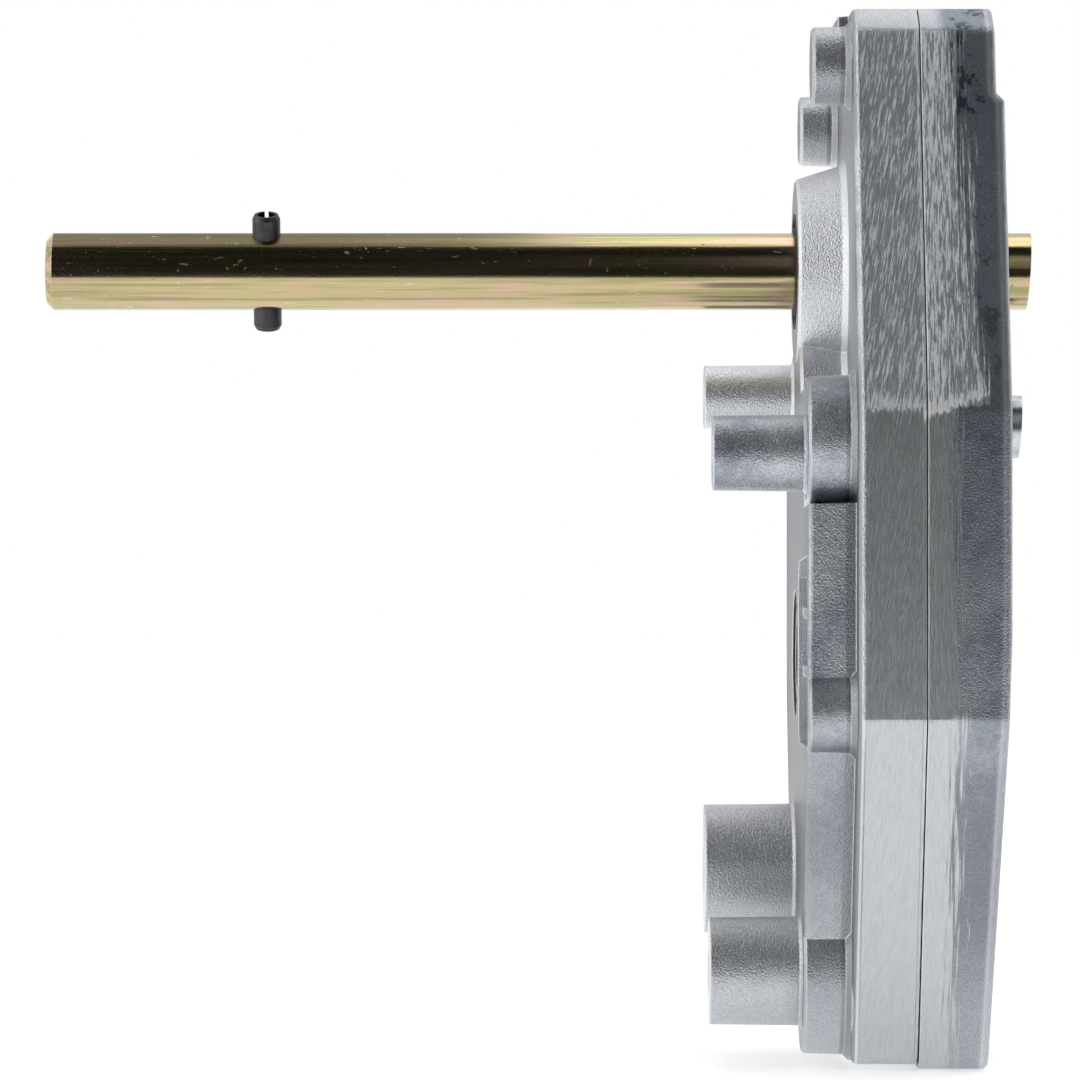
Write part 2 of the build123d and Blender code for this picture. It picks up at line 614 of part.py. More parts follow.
def make_shaft():
    left = -SHAFT_LEFT
    beyond = SHAFT_RIGHT + SHAFT_R
    profile = [(left, 0), (left, SHAFT_R - SHAFT_CHAMFER), (left + SHAFT_CHAMFER, SHAFT_R)]
    shaft = turned(profile + [(beyond, SHAFT_R), (beyond, 0)])
    shaft -= sawn_end(SHAFT_RIGHT, SHAFT_R, 0, 0)
    for travel in (0, NEUTRAL_TRAVEL, HIGH_TRAVEL):
        centre = DETENT_X - travel
        groove = (SHAFT_R - DETENT_GROOVE, SHAFT_R + OVERLAP)
        shaft -= tube(0, 0, groove[1], groove[0], centre - DETENT_WIRE / 2, centre + DETENT_WIRE / 2)
    shaft -= cross_pin(PIN_X, CRANK_PIN_D / 2 + SEAT, 2 * SHAFT_D, PIN_TILT)
    shaft -= cross_pin(DRIVE_PIN_X, DRIVE_PIN_D / 2 + SEAT, 2 * SHAFT_D, PIN_TILT)
    return shaft


def make_crank_pin():
    """A slotted spring pin: a rolled tube with tapered ends."""
    radius = CRANK_PIN_D / 2
    half = CRANK_PIN_LENGTH / 2
    taper = [(half - 2 * CRANK_PIN_TAPER, radius), (half, radius - CRANK_PIN_TAPER)]
    lower = [(-x, r) for x, r in reversed(taper)]
    bore = CRANK_PIN_BORE_D / 2
    pin = turned([(-half, bore)] + lower + taper + [(half, bore)])
    pin -= Pos(0, radius, 0) * Box(2 * CRANK_PIN_LENGTH, 2 * radius, CRANK_PIN_SLOT)
    return Pos(PIN_X, 0, 0) * Rot(X=PIN_TILT) * Rot(Y=-90) * pin


def make_drive_pin():
    radius = DRIVE_PIN_D / 2
    half = DRIVE_PIN_LENGTH / 2
    upper = [(half - DRIVE_PIN_CHAMFER, radius), (half, radius - DRIVE_PIN_CHAMFER), (half, 0)]
    lower = [(-x, r) for x, r in reversed(upper)]
    pin = turned(lower + upper)
    return Pos(DRIVE_PIN_X, 0, 0) * Rot(X=PIN_TILT) * Rot(Y=-90) * pin


def make_low_pinion():
    hub_start = LOW_GEAR_X + LOW_GEAR_FACE
    pinion = gear(LOW_TEETH, LOW_PHASE, 0, 0, LOW_GEAR_X, hub_start)
    pinion += bar(0, 0, LOW_HUB_R, LOW_GEAR_X, LOW_HUB_FACE_X)
    pinion -= bar(0, 0, SHAFT_R + RUNNING, LOW_GEAR_X - OVERLAP, LOW_HUB_FACE_X + OVERLAP)
    pinion -= cross_slot(hub_start, LOW_HUB_FACE_X + OVERLAP, SLOT_WIDTH, SLOT_LENGTH, PIN_TILT)
    half = DETENT_WIRE / 2 + SIDE_PLAY
    pinion -= bar(0, 0, DETENT_RING_R + SEAT, DETENT_X - half, DETENT_X + half)
    return pinion


def make_detent_ring():
    """A flat spring ring in the low pinion's bore, drawn sprung open to the shaft's full size."""
    half = DETENT_WIRE / 2
    ring = tube(0, 0, DETENT_RING_R, SHAFT_R + RUNNING, DETENT_X - half, DETENT_X + half)
    gap = Pos(DETENT_X, 0, DETENT_RING_R) * Box(2 * DETENT_WIRE, DETENT_GAP, 2 * DETENT_RING_R)
    return ring - Rot(X=DETENT_GAP_ANGLE) * gap


def make_high_pinion():
    pinion = gear(HIGH_TEETH, HIGH_PHASE, 0, 0, HIGH_GEAR_X, GEAR_END_X)
    pinion -= bar(0, 0, SHAFT_R + RUNNING, HIGH_GEAR_X - OVERLAP, GEAR_END_X + OVERLAP)
    slot = (HIGH_GEAR_X - OVERLAP, HIGH_GEAR_X + HIGH_SLOT_DEPTH)
    pinion -= cross_slot(*slot, SLOT_WIDTH, SLOT_LENGTH, HIGH_SLOT_TILT)
    return pinion


def make_cluster():
    """Three rows of teeth in one piece: output pinion, low row and high row."""
    low_end = LOW_GEAR_X + LOW_GEAR_FACE
    cluster = gear(CLUSTER_SMALL_TEETH, CLUSTER_PHASE, 0, AXLE_Z, OUTPUT_GEAR_X, LOW_GEAR_X)
    cluster += gear(CLUSTER_BIG_TEETH, CLUSTER_PHASE, 0, AXLE_Z, LOW_GEAR_X, low_end)
    cluster += bar(0, AXLE_Z, CLUSTER_NECK_R, low_end, HIGH_GEAR_X)
    cluster += gear(CLUSTER_SMALL_TEETH, CLUSTER_PHASE, 0, AXLE_Z, HIGH_GEAR_X, GEAR_END_X)
    bore = (OUTPUT_GEAR_X - OVERLAP, GEAR_END_X + OVERLAP)
    return cluster - bar(0, AXLE_Z, CLUSTER_BUSHING_D / 2 + SEAT, *bore)


def make_axle():
    beyond = AXLE_RIGHT + AXLE_R
    tip = [(AXLE_LEFT, 0), (AXLE_LEFT, AXLE_R - AXLE_CHAMFER), (AXLE_LEFT + AXLE_CHAMFER, AXLE_R)]
    axle = turned(tip + [(beyond, AXLE_R), (beyond, 0)], 0, AXLE_Z)
    return axle - sawn_end(AXLE_RIGHT, AXLE_R, 0, AXLE_Z)


def output_key(slack):
    """The key between sleeve and gear, or its slot with some slack."""
    centre = Pos((OUTPUT_GEAR_X + OUTPUT_GEAR_END_X) / 2, OUTPUT_Y, OUTPUT_Z + SLEEVE_SEAT_D / 2)
    return centre * Box(OUTPUT_GEAR_FACE - 2 * SIDE_PLAY + slack, KEY_WIDTH + slack, KEY_HEIGHT + slack)


def make_output_gear():
    wheel = gear(OUTPUT_TEETH, OUTPUT_PHASE, OUTPUT_Y, OUTPUT_Z, OUTPUT_GEAR_X, OUTPUT_GEAR_END_X)
    beyond = OUTPUT_GEAR_END_X + OVERLAP
    wheel -= bar(OUTPUT_Y, OUTPUT_Z, SLEEVE_SEAT_D / 2 + SEAT, OUTPUT_GEAR_X - OVERLAP, beyond)
    web = (OUTPUT_GEAR_END_X - WEB_RECESS, beyond)
    wheel -= tube(OUTPUT_Y, OUTPUT_Z, WEB_OUTER_R, WEB_INNER_R, *web)
    wheel -= output_key(2 * SEAT) + Pos(-OVERLAP, 0, 0) * output_key(2 * SEAT)
    return wheel


def make_output_sleeve():
    journal = SLEEVE_JOURNAL_D / 2
    seat = SLEEVE_SEAT_D / 2
    bore = SLEEVE_BORE_D / 2
    points = [
        (SLEEVE_REAR_X, bore),
        (SLEEVE_REAR_X, journal - SLEEVE_CHAMFER),
        (SLEEVE_REAR_X + SLEEVE_CHAMFER, journal),
        (OUTPUT_GEAR_X, journal),
        (OUTPUT_GEAR_X, seat),
        (OUTPUT_GEAR_END_X, seat),
        (OUTPUT_GEAR_END_X, COLLAR_D / 2),
        (OUTPUT_GEAR_END_X + COLLAR_WIDTH, COLLAR_D / 2),
        (OUTPUT_GEAR_END_X + COLLAR_WIDTH, seat),
        (OUTPUT_COVER_BOSS_X - FACE_GAP, seat),
        (OUTPUT_COVER_BOSS_X - FACE_GAP, journal),
        (SLEEVE_FRONT_X, journal),
        (SLEEVE_FRONT_X, 0),
        (SLEEVE_REAR_X + SLEEVE_BORE_DEPTH, 0),
        (SLEEVE_REAR_X + SLEEVE_BORE_DEPTH, bore),
    ]
    sleeve = turned(points, OUTPUT_Y, OUTPUT_Z)
    sleeve -= output_key(2 * SEAT)
    keyway = Pos(SLEEVE_REAR_X + SLEEVE_BORE_DEPTH / 2, OUTPUT_Y, OUTPUT_Z - bore)
    return sleeve - keyway * Box(SLEEVE_BORE_DEPTH, KEYWAY_WIDTH, 2 * KEYWAY_DEPTH)


def make_output_rear_bushing():
    end = OUTPUT_GEAR_X - FACE_GAP
    bushing = tube(OUTPUT_Y, OUTPUT_Z, OUTPUT_BUSHING_D / 2, journal_bore, OUTPUT_SEAL_END_X, end)
    return bushing + tube(OUTPUT_Y, OUTPUT_Z, OUTPUT_FLANGE_D / 2, journal_bore, OUTPUT_FLANGE_X, end)


def make_output_cover_bushing():
    return tube(OUTPUT_Y, OUTPUT_Z, OUTPUT_BUSHING_D / 2, journal_bore, OUTPUT_COVER_BOSS_X, SLEEVE_FRONT_X)


def make_output_seal():
    return make_seal(OUTPUT_Y, OUTPUT_Z, OUTPUT_SEAL_D / 2, journal_bore, OUTPUT_SEAL_X, OUTPUT_SEAL_END_X)


def make_seal(y, z, outer, inner, x0, x1):
    """A shaft seal, with a shallow groove pressed into its outer face."""
    seal = tube(y, z, outer, inner, x0, x1)
    middle = (outer + inner) / 2
    return seal - tube(y, z, middle + SEAL_GROOVE, middle - SEAL_GROOVE, x0 - OVERLAP, x0 + SEAL_GROOVE / 2)


def washer(y, z, outer, bore, x0, x1):
    return tube(y, z, outer, bore + WASHER_CLEARANCE, x0, x1)


running_bore = SHAFT_R + RUNNING
journal_bore = SLEEVE_JOURNAL_D / 2 + RUNNING
parts = {
    "gearbox_body": make_body(),
    "gearbox_cover": make_cover(),
    "casing_gasket": make_gasket(),
    "cover_screws": make_screws(),
    "locating_dowels": make_dowels(),
    "input_shaft": make_shaft(),
    "crank_pin": make_crank_pin(),
    "drive_pin": make_drive_pin(),
    "low_pinion": make_low_pinion(),
    "shift_detent_ring": make_detent_ring(),
    "high_pinion": make_high_pinion(),
    "cluster_gear": make_cluster(),
    "cluster_axle": make_axle(),
    "output_gear": make_output_gear(),
    "output_sleeve": make_output_sleeve(),
    "output_key": output_key(0),
    "output_rear_bushing": make_output_rear_bushing(),
    "output_cover_bushing": make_output_cover_bushing(),
    "output_seal": make_output_seal(),
    "hub_seal": make_seal(0, 0, HUB_SEAL_D / 2, running_bore, HUB_FACE_X - HUB_SEAL_PROUD, HUB_SEAL_END_X),
    "cover_seal": tube(0, 0, COVER_SEAL_D / 2, running_bore, COVER_SEAL_X, FRONT_BOSS_X - SEAL_SINK),
    "rear_input_bushing": tube(0, 0, INPUT_BUSHING_D / 2, running_bore, HUB_SEAL_END_X, BODY_INNER_X),
    "cover_input_bushing": tube(0, 0, INPUT_BUSHING_D / 2, running_bore, COVER_INNER_X, COVER_SEAL_X),
    "cluster_bushing": tube(0, AXLE_Z, CLUSTER_BUSHING_D / 2, AXLE_R + RUNNING, OUTPUT_GEAR_X, GEAR_END_X),
    "low_thrust_washer": washer(0, 0, LOW_WASHER_R, SHAFT_R, BODY_INNER_X, LOW_GEAR_X - SIDE_PLAY),
    "high_thrust_washer": washer(0, 0, HIGH_WASHER_R, SHAFT_R, GEAR_END_X + SIDE_PLAY, COVER_INNER_X),
    "cluster_rear_washer": washer(0, AXLE_Z, AXLE_WASHER_R, AXLE_R, AXLE_BOSS_X, OUTPUT_GEAR_X - SIDE_PLAY),
    "cluster_cover_washer": washer(0, AXLE_Z, AXLE_WASHER_R, AXLE_R, GEAR_END_X + SIDE_PLAY, COVER_INNER_X),
}

os.makedirs("parts", exist_ok=True)
for name, shape in parts.items():
    solid = Compound(children=shape) if isinstance(shape, list) else shape
    export_step(solid, f"parts/{name}.step")
print(f"{len(parts)} nodes; neutral is {NEUTRAL_TRAVEL:.2f} mm from low, high is {HIGH_TRAVEL:.2f} mm")
print(f"axle at z {AXLE_Z:.3f}, output at y {OUTPUT_Y:.3f}, z {OUTPUT_Z:.3f}")
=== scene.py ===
# %% [markdown]
# # A trailer landing gear gearbox, dressed for a studio picture
#
# The gearbox is a split aluminium die casting with a long zinc-plated crank shaft. Its solids come from
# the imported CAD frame, at their real size and place. This lesson gives every surface its finish, adds the
# marks that tools and use leave, and sets up the studio.
#
# All lengths are in metres. +X runs along the shaft towards the cover, +Z is up, and the camera looks
# along +Y, at the thin side of the casing.

# %% Load the frame
import json
import math

import bpy
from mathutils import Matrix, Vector


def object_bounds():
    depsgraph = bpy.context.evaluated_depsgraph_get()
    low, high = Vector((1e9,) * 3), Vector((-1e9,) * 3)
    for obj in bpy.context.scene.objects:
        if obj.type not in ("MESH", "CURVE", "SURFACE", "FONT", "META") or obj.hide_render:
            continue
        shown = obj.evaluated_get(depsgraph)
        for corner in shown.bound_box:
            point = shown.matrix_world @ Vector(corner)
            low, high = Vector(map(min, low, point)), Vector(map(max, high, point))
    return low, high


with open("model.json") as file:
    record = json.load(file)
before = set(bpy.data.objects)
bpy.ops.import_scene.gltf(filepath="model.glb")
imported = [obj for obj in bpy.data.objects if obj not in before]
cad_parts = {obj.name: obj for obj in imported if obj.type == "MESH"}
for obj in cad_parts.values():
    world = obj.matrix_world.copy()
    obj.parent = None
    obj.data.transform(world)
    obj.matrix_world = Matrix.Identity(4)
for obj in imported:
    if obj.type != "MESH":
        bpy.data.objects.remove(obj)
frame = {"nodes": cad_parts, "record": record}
cad_low, cad_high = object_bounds()
nodes = frame["nodes"]
MM = 0.001
print("nodes", len(nodes), "box", tuple(cad_low), tuple(cad_high))

# %% [markdown]
# ## The camera
#
# The photograph was taken from far away with a long lens: near and far posts of one plane end at almost the
# same place in the picture. Comparing them gives a distance of about 1.7 m. A camera could also be placed by
# eye, but then the near edges would be too large or too small. The values below come from that comparison:
# at the shaft, a pixel is 0.286 mm.

# %% Place the camera
PHOTO_SIDE = 1080
PHOTO_DISTANCE_PX = 6000
CAMERA_DISTANCE = 1.717
CAMERA_X = -0.0476
CAMERA_Z = -0.0768
SENSOR = 36.0
CLIP_END = 50

camera_data = bpy.data.cameras.new("camera")
camera_data.sensor_width = SENSOR
camera_data.lens = SENSOR * PHOTO_DISTANCE_PX / PHOTO_SIDE
camera_data.clip_end = CLIP_END
camera = bpy.data.objects.new("camera", camera_data)
camera.location = (CAMERA_X, -CAMERA_DISTANCE, CAMERA_Z)
camera.rotation_euler = (math.radians(90), 0, 0)
bpy.context.scene.collection.objects.link(camera)
bpy.context.scene.camera = camera
print("lens", camera_data.lens, "mm, a pixel at the shaft is", CAMERA_DISTANCE / PHOTO_DISTANCE_PX / MM, "mm")

# %% [markdown]
# ## Helpers for shader nodes
#
# A material is a small graph. Writing each node and each wire by hand makes long cells, so a few helpers do
# it: one adds a node and fills its inputs, one makes a node group with named sockets, and one uses such a
# group. An input may be a value or another node's output, and the helpers link it or set it.

# %% Node helpers
FLOAT = "NodeSocketFloat"
VECTOR = "NodeSocketVector"


def fill(tree, socket, value):
    """Links the socket to another node's output, or sets it to a plain value."""
    if isinstance(value, bpy.types.NodeSocket):
        tree.links.new(value, socket)
    else:
        socket.default_value = value


def put(tree, kind, settings=None, **inputs):
    """Adds a node. Inputs go by name, with spaces as underscores, or by number as i0 and i1."""
    node = tree.nodes.new(kind)
    for name, value in (settings or {}).items():
        setattr(node, name, value)
    for name, value in inputs.items():
        numbered = name[0] == "i" and name[1:].isdigit()
        fill(tree, node.inputs[int(name[1:]) if numbered else name.replace("_", " ")], value)
    return node


def new_group(name, inputs, outputs):
    """A node group. Inputs are given as (name, kind, default), and outputs as (name, kind)."""
    tree = bpy.data.node_groups.new(name, "ShaderNodeTree")
    for socket_name, kind, default in inputs:
        socket = tree.interface.new_socket(socket_name, in_out="INPUT", socket_type=kind)
        socket.default_value = default
    for socket_name, kind in outputs:
        tree.interface.new_socket(socket_name, in_out="OUTPUT", socket_type=kind)
    start = tree.nodes.new("NodeGroupInput")
    end = tree.nodes.new("NodeGroupOutput")
    return tree, start.outputs, end.inputs


def use_group(tree, group, **inputs):
    """Places a group with its own values, and gives its outputs."""
    node = tree.nodes.new("ShaderNodeGroup")
    node.node_tree = group
    for name, value in inputs.items():
        fill(tree, node.inputs[name.replace("_", " ")], value)
    return node.outputs


print("node helpers ready")

# %% [markdown]
# ## Sums, masks and blends
#
# Most of a finish is arithmetic with masks, which are 0 where an effect is absent and 1 where it is full. Two
# masks are multiplied to keep the place where both hold. A smooth step turns a distance or a noise into a
# mask with a soft border. Short names for these steps keep the materials readable.

# %% Sums, masks and blends
MIX_SHARE = 0
MIX_FIRST_COLOUR = 6
MIX_SECOND_COLOUR = 7
MIX_COLOUR_RESULT = 2


def math_node(tree, operation, a, b=0.0):
    return put(tree, "ShaderNodeMath", {"operation": operation}, i0=a, i1=b).outputs[0]


def plus(tree, a, b):
    return math_node(tree, "ADD", a, b)


def minus(tree, a, b):
    return math_node(tree, "SUBTRACT", a, b)


def times(tree, a, b):
    return math_node(tree, "MULTIPLY", a, b)


def most(tree, a, b):
    return math_node(tree, "MAXIMUM", a, b)


def without(tree, mask):
    """The places where the mask is absent."""
    return minus(tree, 1.0, mask)


def smooth_step(tree, value, low, high):
    """0 below low, 1 above high, and a smooth rise between."""
    settings = {"interpolation_type": "SMOOTHSTEP"}
    node = put(tree, "ShaderNodeMapRange", settings, Value=value, From_Min=low, From_Max=high)
    return node.outputs[0]


def blend_colours(tree, share, a, b, mode="MIX"):
    """Colour a, with a share of colour b over it."""
    node = put(tree, "ShaderNodeMix", {"data_type": "RGBA", "blend_type": mode})
    fill(tree, node.inputs[MIX_SHARE], share)
    fill(tree, node.inputs[MIX_FIRST_COLOUR], a)
    fill(tree, node.inputs[MIX_SECOND_COLOUR], b)
    return node.outputs[MIX_COLOUR_RESULT]


print("sums, masks and blends ready")

# %% [markdown]
# ## Places, directions and noise
#
# An effect has to know where it is on the part, which way the surface faces, and how to vary. The object's
# own coordinates are real metres here, so a border can be set at the height or depth where the photograph
# shows it. An unwrapped texture could do the same, but it would need seams on every casting.

# %% Places, directions and noise
def object_place(tree):
    """The place on the object, in metres."""
    return put(tree, "ShaderNodeTexCoord").outputs["Object"]


def true_normal(tree):
    """The direction that the mesh itself faces."""
    return put(tree, "ShaderNodeNewGeometry").outputs["True Normal"]


def split(tree, vector):
    """The X, Y and Z of a vector."""
    return put(tree, "ShaderNodeSeparateXYZ", Vector=vector).outputs


def vector_node(tree, operation, a, b):
    return put(tree, "ShaderNodeVectorMath", {"operation": operation}, i0=a, i1=b).outputs[0]


def noise(tree, place, scale, detail, roughness=0.5):
    """Cloudy noise between 0 and 1. A larger scale gives smaller clouds."""
    node = put(tree, "ShaderNodeTexNoise", Vector=place, Scale=scale, Detail=detail, Roughness=roughness)
    return node.outputs[0]


print("places, directions and noise ready")

# %% [markdown]
# ## Effect: cast skin
#
# Molten aluminium that fills a steel die leaves a dull skin: fine grain, shallow pits, and cloudy patches
# where the die was hotter or had more release agent. One noise would look like fog, so this group adds three
# scales: clouds of a few centimetres, mottling of a few millimetres, and grain under a millimetre.

# %% Cast skin group
CLOUD_SCALE = 45.0
MOTTLE_SCALE = 320.0
GRAIN_SCALE = 2000.0
PIT_SCALE = 700.0
PIT_WIDTH = 0.35
PIT_HEIGHT = 0.2
MOTTLE_HEIGHT = 0.5


def make_cast_skin():
    tree, given, out = new_group(
        "cast_skin",
        [("Grain Scale", FLOAT, GRAIN_SCALE), ("Cloud Scale", FLOAT, CLOUD_SCALE)],
        [("Clouds", FLOAT), ("Mottle", FLOAT), ("Grain", FLOAT), ("Height", FLOAT)],
    )
    place = object_place(tree)
    clouds = noise(tree, place, given["Cloud Scale"], detail=4.0, roughness=0.6)
    mottle = noise(tree, place, MOTTLE_SCALE, detail=5.0, roughness=0.65)
    grain = noise(tree, place, given["Grain Scale"], detail=2.0)
    pits = put(tree, "ShaderNodeTexVoronoi", Vector=place, Scale=PIT_SCALE)
    pit = smooth_step(tree, pits.outputs["Distance"], 0.0, PIT_WIDTH)
    height = plus(tree, grain, times(tree, pit, PIT_HEIGHT))
    height = plus(tree, height, times(tree, mottle, MOTTLE_HEIGHT))
    tree.links.new(clouds, out["Clouds"])
    tree.links.new(mottle, out["Mottle"])
    tree.links.new(grain, out["Grain"])
    tree.links.new(height, out["Height"])
    return tree


cast_skin = make_cast_skin()
print("cast skin nodes", len(cast_skin.nodes))

# %% [markdown]
# ## Effect: streaks
#
# A sanding belt leaves long, fine, nearly parallel lines. Noise gives them when its coordinates are squeezed
# along one axis: many changes across the lines and few along them. A slow wobble keeps the lines from being
# ruler straight, and a lean tilts them. The stretch is a vector input, so that the same group makes belt
# lines on the casing and drawing lines along the shaft.

# %% Streak group
WOBBLE_SCALE = 28.0
BROAD_SCALE = 0.35
BROAD_HEIGHT = 0.8


def make_streaks():
    tree, given, out = new_group(
        "streaks",
        [("Stretch", VECTOR, (1800.0, 60.0, 60.0)), ("Wobble", FLOAT, 0.6 * MM), ("Lean", FLOAT, 0.0)],
        [("Fine", FLOAT), ("Broad", FLOAT), ("Height", FLOAT)],
    )
    place = object_place(tree)
    bend = put(tree, "ShaderNodeTexNoise", Vector=place, Scale=WOBBLE_SCALE, Detail=2.0).outputs["Color"]
    scaled = put(tree, "ShaderNodeVectorMath", {"operation": "SCALE"}, i0=bend, Scale=given["Wobble"])
    moved = vector_node(tree, "ADD", place, scaled.outputs[0])
    aside = times(tree, split(tree, place)[2], given["Lean"])
    shear = put(tree, "ShaderNodeCombineXYZ", X=aside).outputs[0]
    leaned = vector_node(tree, "ADD", moved, shear)
    squeezed = vector_node(tree, "MULTIPLY", leaned, given["Stretch"])
    fine = noise(tree, squeezed, scale=1.0, detail=3.0, roughness=0.7)
    broad = noise(tree, squeezed, BROAD_SCALE, detail=3.0, roughness=0.7)
    tree.links.new(fine, out["Fine"])
    tree.links.new(broad, out["Broad"])
    tree.links.new(plus(tree, fine, times(tree, broad, BROAD_HEIGHT)), out["Height"])
    return tree


streaks = make_streaks()
print("streak nodes", len(streaks.nodes))

# %% [markdown]
# ## Effect: rounded and worn edges
#
# No real edge is perfectly sharp, and handling polishes it bright. The Bevel node gives the normal that a
# rounded edge would have. Used as the shading normal it makes the thin bright lines that run along every
# edge of a casting. Where it differs from the true normal there is an edge, and that difference is the wear
# mask. Bevelled geometry would do the same, but the CAD meshes stay as they are.

# %% Edge group
BEVEL_SAMPLES = 6


def make_edges():
    tree, given, out = new_group(
        "edges",
        [("Radius", FLOAT, 0.6 * MM), ("Spread", FLOAT, 0.12)],
        [("Normal", VECTOR), ("Wear", FLOAT)],
    )
    rounded = put(tree, "ShaderNodeBevel", {"samples": BEVEL_SAMPLES}, Radius=given["Radius"]).outputs[0]
    facing = put(tree, "ShaderNodeNewGeometry").outputs["Normal"]
    same = put(tree, "ShaderNodeVectorMath", {"operation": "DOT_PRODUCT"}, i0=rounded, i1=facing)
    turned = without(tree, same.outputs["Value"])
    wear = put(tree, "ShaderNodeMapRange", Value=turned, From_Min=0.0, From_Max=given["Spread"])
    tree.links.new(rounded, out["Normal"])
    tree.links.new(wear.outputs[0], out["Wear"])
    return tree


edges = make_edges()
print("edge nodes", len(edges.nodes))

# %% [markdown]
# ## Effect: stains and rubs
#
# Old release agent and oxide leave dark blotches with broken borders, and knocks leave small pale rubs. Both
# are a noise cut at a threshold: a rough noise gives broken borders, and a stretched one gives rubs.

# %% Blotch group
def make_blotches():
    tree, given, out = new_group(
        "blotches",
        [("Stretch", VECTOR, (60.0, 60.0, 60.0)), ("Threshold", FLOAT, 0.6), ("Softness", FLOAT, 0.05)],
        [("Mask", FLOAT)],
    )
    squeezed = vector_node(tree, "MULTIPLY", object_place(tree), given["Stretch"])
    rough_noise = noise(tree, squeezed, scale=1.0, detail=8.0, roughness=0.72)
    full = plus(tree, given["Threshold"], given["Softness"])
    tree.links.new(smooth_step(tree, rough_noise, given["Threshold"], full), out["Mask"])
    return tree


blotches = make_blotches()
print("blotch nodes", len(blotches.nodes))

# %% [markdown]
# ## Effect: a tapped post
#
# Each leg post is faced off with a cutter and then drilled and tapped. The facing leaves fine rings round the
# hole, and the tap leaves a thread in it. The distance from the post's axis tells both places apart, and a
# ripple by distance or by depth gives their height. A cut helix would need many thousand faces for the same
# look. The posts' places and radii are those of the threaded mounts in the part's record. The pitch follows
# from the hole's radius in mm: a hole of 8.5 mm is tapped M10, and one of 12 mm is tapped M14.

# %% Tapped post group
COARSE_PITCH = {4.25: 1.5 * MM, 6.0: 2.0 * MM}
POST_REACH = 18 * MM
THREAD_DEPTH = 23 * MM
THREAD_CREST = 0.3 * MM
THREAD_HEIGHT = 12.0
FACING_DEPTH = 0.2 * MM
FACING_PITCH = 0.5 * MM
FACING_HEIGHT = 0.25

threaded = [mount for mount in frame["record"]["mounts"] if mount["kind"] == "threaded_hole"]


def make_tapped_post():
    """Depth is measured from the plane in which the posts end, which is at X = 0."""
    tree, given, out = new_group(
        "tapped_post",
        [("Centre", VECTOR, (0.0, 0.0, 0.0)), ("Radius", FLOAT, 4 * MM), ("Pitch", FLOAT, 1.5 * MM)],
        [("Thread", FLOAT), ("Faced", FLOAT), ("Height", FLOAT)],
    )
    depth, y, z = split(tree, vector_node(tree, "SUBTRACT", object_place(tree), given["Centre"]))
    across = put(tree, "ShaderNodeCombineXYZ", Y=y, Z=z).outputs[0]
    length = put(tree, "ShaderNodeVectorMath", {"operation": "LENGTH"}, i0=across)
    distance = length.outputs["Value"]
    inside = math_node(tree, "LESS_THAN", distance, plus(tree, given["Radius"], THREAD_CREST))
    inside = times(tree, inside, math_node(tree, "LESS_THAN", depth, THREAD_DEPTH))
    near = math_node(tree, "LESS_THAN", distance, POST_REACH)
    near = times(tree, near, math_node(tree, "LESS_THAN", depth, FACING_DEPTH))
    faced = times(tree, near, without(tree, inside))
    turn = math_node(tree, "DIVIDE", math_node(tree, "ARCTAN2", z, y), math.tau)
    climb = plus(tree, math_node(tree, "DIVIDE", depth, given["Pitch"]), turn)
    thread = math_node(tree, "PINGPONG", climb, 0.5)
    rings = math_node(tree, "PINGPONG", math_node(tree, "DIVIDE", distance, FACING_PITCH), 0.5)
    thread_height = times(tree, times(tree, thread, inside), THREAD_HEIGHT)
    ring_height = times(tree, times(tree, rings, faced), FACING_HEIGHT)
    tree.links.new(inside, out["Thread"])
    tree.links.new(faced, out["Faced"])
    tree.links.new(plus(tree, thread_height, ring_height), out["Height"])
    return tree


tapped_post = make_tapped_post()
print("tapped post nodes", len(tapped_post.nodes), "for", [mount["name"] for mount in threaded])

# %% [markdown]
# ## Helpers for materials
#
# Every finish ends in the same three wires: its colour, its roughness and its bumps go into the Principled
# shader. The bumps stand on the rounded normal of the edge group, so that an edge stays round under its
# grain. Two helpers hold this, and each material below is left with what is its own.

# %% Material helpers
def new_material(name):
    material = bpy.data.materials.new(name)
    material.use_nodes = True
    tree = material.node_tree
    return material, tree, tree.nodes["Principled BSDF"]


def fill_shader(tree, shader, colour, rough, height, normal, strength, depth, metallic=1.0):
    """Wires colour, roughness and bumps. Depth is how far a height of 1 stands up."""
    bump = put(tree, "ShaderNodeBump", Strength=strength, Distance=depth, Height=height, Normal=normal)
    fill(tree, shader.inputs["Base Color"], colour)
    fill(tree, shader.inputs["Roughness"], rough)
    fill(tree, shader.inputs["Normal"], bump.outputs[0])
    fill(tree, shader.inputs["Metallic"], metallic)


def grey(shade):
    return (shade, shade, shade, 1)


print("material helpers ready")

# %% [markdown]
# ## Finish: the aluminium casing
#
# The flanks were run along a belt sander after the two halves were bolted together, so its lines cross the
# joint and stop raggedly on the cover. Everything else keeps its cast skin. Two materials would make a hard
# border, so one material blends both finishes. The side has three flats, which meet in two breaks, and the
# finish, its painted light and its painted reflection change there. The next cells make one share or colour
# each, and the last one puts them together.

# %% Places on the casing
JOINT_X = 57 * MM
JOINT_FADE = 0.2 * MM
COVER_OUTER_X = 66 * MM
TOP_Z = cad_high[2]
UPPER_BREAK_Z = -41.3 * MM
LOWER_BREAK_Z = -125.9 * MM
# A pale colour for worn edges, also used for painted highlights on the rim and the cover's front round.
EDGE_WEAR_AND_HIGHLIGHT = (0.95, 0.96, 0.98, 1)


def cover_share(tree, place):
    """1 on the cover and on the last millimetre of the body before the joint, 0 on the rest."""
    return smooth_step(tree, place[0], JOINT_X - JOINT_FADE, JOINT_X)


print("flats", [round(z, 4) for z in (TOP_Z, UPPER_BREAK_Z, LOWER_BREAK_Z, cad_low[2])])

